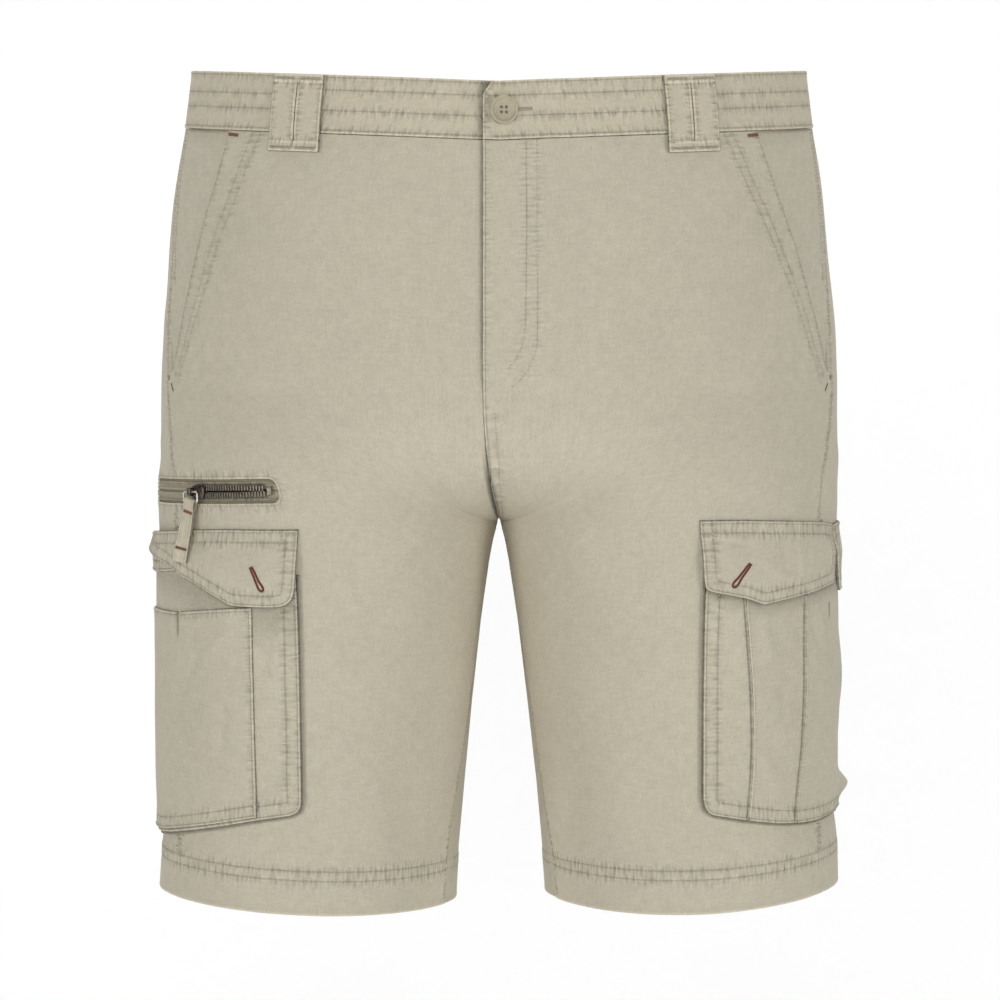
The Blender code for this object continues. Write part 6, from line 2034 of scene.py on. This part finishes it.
class ShortsStage(bpy.types.PropertyGroup):
    """Floor and light."""
    floor_height: bpy.props.FloatProperty(
        name="Floor height", description="Height of the floor below the waist", default=-0.72,
        subtype="DISTANCE", unit="LENGTH")
    fill_light: bpy.props.FloatProperty(
        name="Fill light", description="Strength of the light from all round", default=0.25, min=0.0,
        max=3.0)
    key_light: bpy.props.FloatProperty(
        name="Key light", description="Power of the main soft lamp", default=25.4, min=0.0, max=500.0)
    wall_light: bpy.props.FloatProperty(
        name="Wall light", description="Power of the lamp on the wall", default=60.0, min=0.0, max=500.0)


class ShortsOperator:
    """What every operator of the shorts shares."""
    bl_options = {"REGISTER", "UNDO"}


class SHORTS_OT_panels(ShortsOperator, bpy.types.Operator):
    """Make the front, back and hip panels"""
    bl_idname = "shorts.panels"
    bl_label = "Panels"

    def execute(self, context):
        for half in (LEFT, RIGHT):
            make_front(half)
            make_back(half)
            make_hip(half)
        return {"FINISHED"}


class SHORTS_OT_waistband(ShortsOperator, bpy.types.Operator):
    """Make both halves of the waistband"""
    bl_idname = "shorts.waistband"
    bl_label = "Waistband"

    def execute(self, context):
        make_waistband(LEFT)
        make_waistband(RIGHT)
        return {"FINISHED"}


class SHORTS_OT_loops(ShortsOperator, bpy.types.Operator):
    """Make the belt loops"""
    bl_idname = "shorts.loops"
    bl_label = "Belt loops"

    def execute(self, context):
        make_loops()
        return {"FINISHED"}


class SHORTS_OT_pockets(ShortsOperator, bpy.types.Operator):
    """Make the cargo pockets and the phone pocket"""
    bl_idname = "shorts.pockets"
    bl_label = "Cargo pockets"

    def execute(self, context):
        for half in (LEFT, RIGHT):
            make_gusset(half)
            make_pocket(half)
        make_phone_pocket()
        return {"FINISHED"}


class SHORTS_OT_flaps(ShortsOperator, bpy.types.Operator):
    """Make the pocket flaps"""
    bl_idname = "shorts.flaps"
    bl_label = "Flaps"

    def execute(self, context):
        for flap in FLAPS:
            make_flap(flap)
        return {"FINISHED"}


class SHORTS_OT_zip(ShortsOperator, bpy.types.Operator):
    """Make the zip's tape, teeth, stop and slider"""
    bl_idname = "shorts.zip"
    bl_label = "Zip"

    def execute(self, context):
        make_tape()
        make_teeth()
        make_stops()
        make_slider()
        return {"FINISHED"}


class SHORTS_OT_pull(ShortsOperator, bpy.types.Operator):
    """Make the zip's pull: its ring and its cloth tab"""
    bl_idname = "shorts.pull"
    bl_label = "Zip pull"

    def execute(self, context):
        place = pull_frame()
        make_ring(place)
        make_tab(place)
        return {"FINISHED"}


class SHORTS_OT_button(ShortsOperator, bpy.types.Operator):
    """Make the waist button"""
    bl_idname = "shorts.button"
    bl_label = "Waist button"

    def execute(self, context):
        make_button()
        return {"FINISHED"}


class SHORTS_OT_tacks(ShortsOperator, bpy.types.Operator):
    """Sew the bar tacks and buttonholes"""
    bl_idname = "shorts.tacks"
    bl_label = "Tacks and buttonholes"

    def execute(self, context):
        make_tacks()
        return {"FINISHED"}


class SHORTS_OT_stage(ShortsOperator, bpy.types.Operator):
    """Set up the floor, the light and the camera"""
    bl_idname = "shorts.stage"
    bl_label = "Stage"

    def execute(self, context):
        make_stage()
        return {"FINISHED"}


OPERATORS = (
    SHORTS_OT_stage, SHORTS_OT_panels, SHORTS_OT_waistband, SHORTS_OT_loops, SHORTS_OT_pockets,
    SHORTS_OT_flaps, SHORTS_OT_zip, SHORTS_OT_pull, SHORTS_OT_button, SHORTS_OT_tacks,
)


class SHORTS_PT_sidebar(bpy.types.Panel):
    """The shorts' settings and pieces"""
    bl_label = "Cargo shorts"
    bl_idname = "SHORTS_PT_sidebar"
    bl_space_type = "VIEW_3D"
    bl_region_type = "UI"
    bl_category = "Shorts"

    def draw(self, context):
        for group in (context.scene.shorts_colours, context.scene.shorts_sewing, context.scene.shorts_stage):
            for name in group.bl_rna.properties.keys():
                if name not in ("rna_type", "name"):
                    self.layout.prop(group, name)
        for operator in OPERATORS:
            self.layout.operator(operator.bl_idname)


GROUPS = {"shorts_colours": ShortsColours, "shorts_sewing": ShortsSewing, "shorts_stage": ShortsStage}


def register():
    """Add the properties, operators and panel."""
    for made in (*GROUPS.values(), *OPERATORS, SHORTS_PT_sidebar):
        bpy.utils.register_class(made)
    for name, group in GROUPS.items():
        setattr(bpy.types.Scene, name, bpy.props.PointerProperty(type=group))


def unregister():
    """Take them away again."""
    for name in GROUPS:
        delattr(bpy.types.Scene, name)
    for made in reversed((*GROUPS.values(), *OPERATORS, SHORTS_PT_sidebar)):
        bpy.utils.unregister_class(made)


def main():
    """Make everything in order."""
    register()
    for operator in OPERATORS:
        group, name = operator.bl_idname.split(".")
        getattr(getattr(bpy.ops, group), name)()


if __name__ == "__main__":
    main()
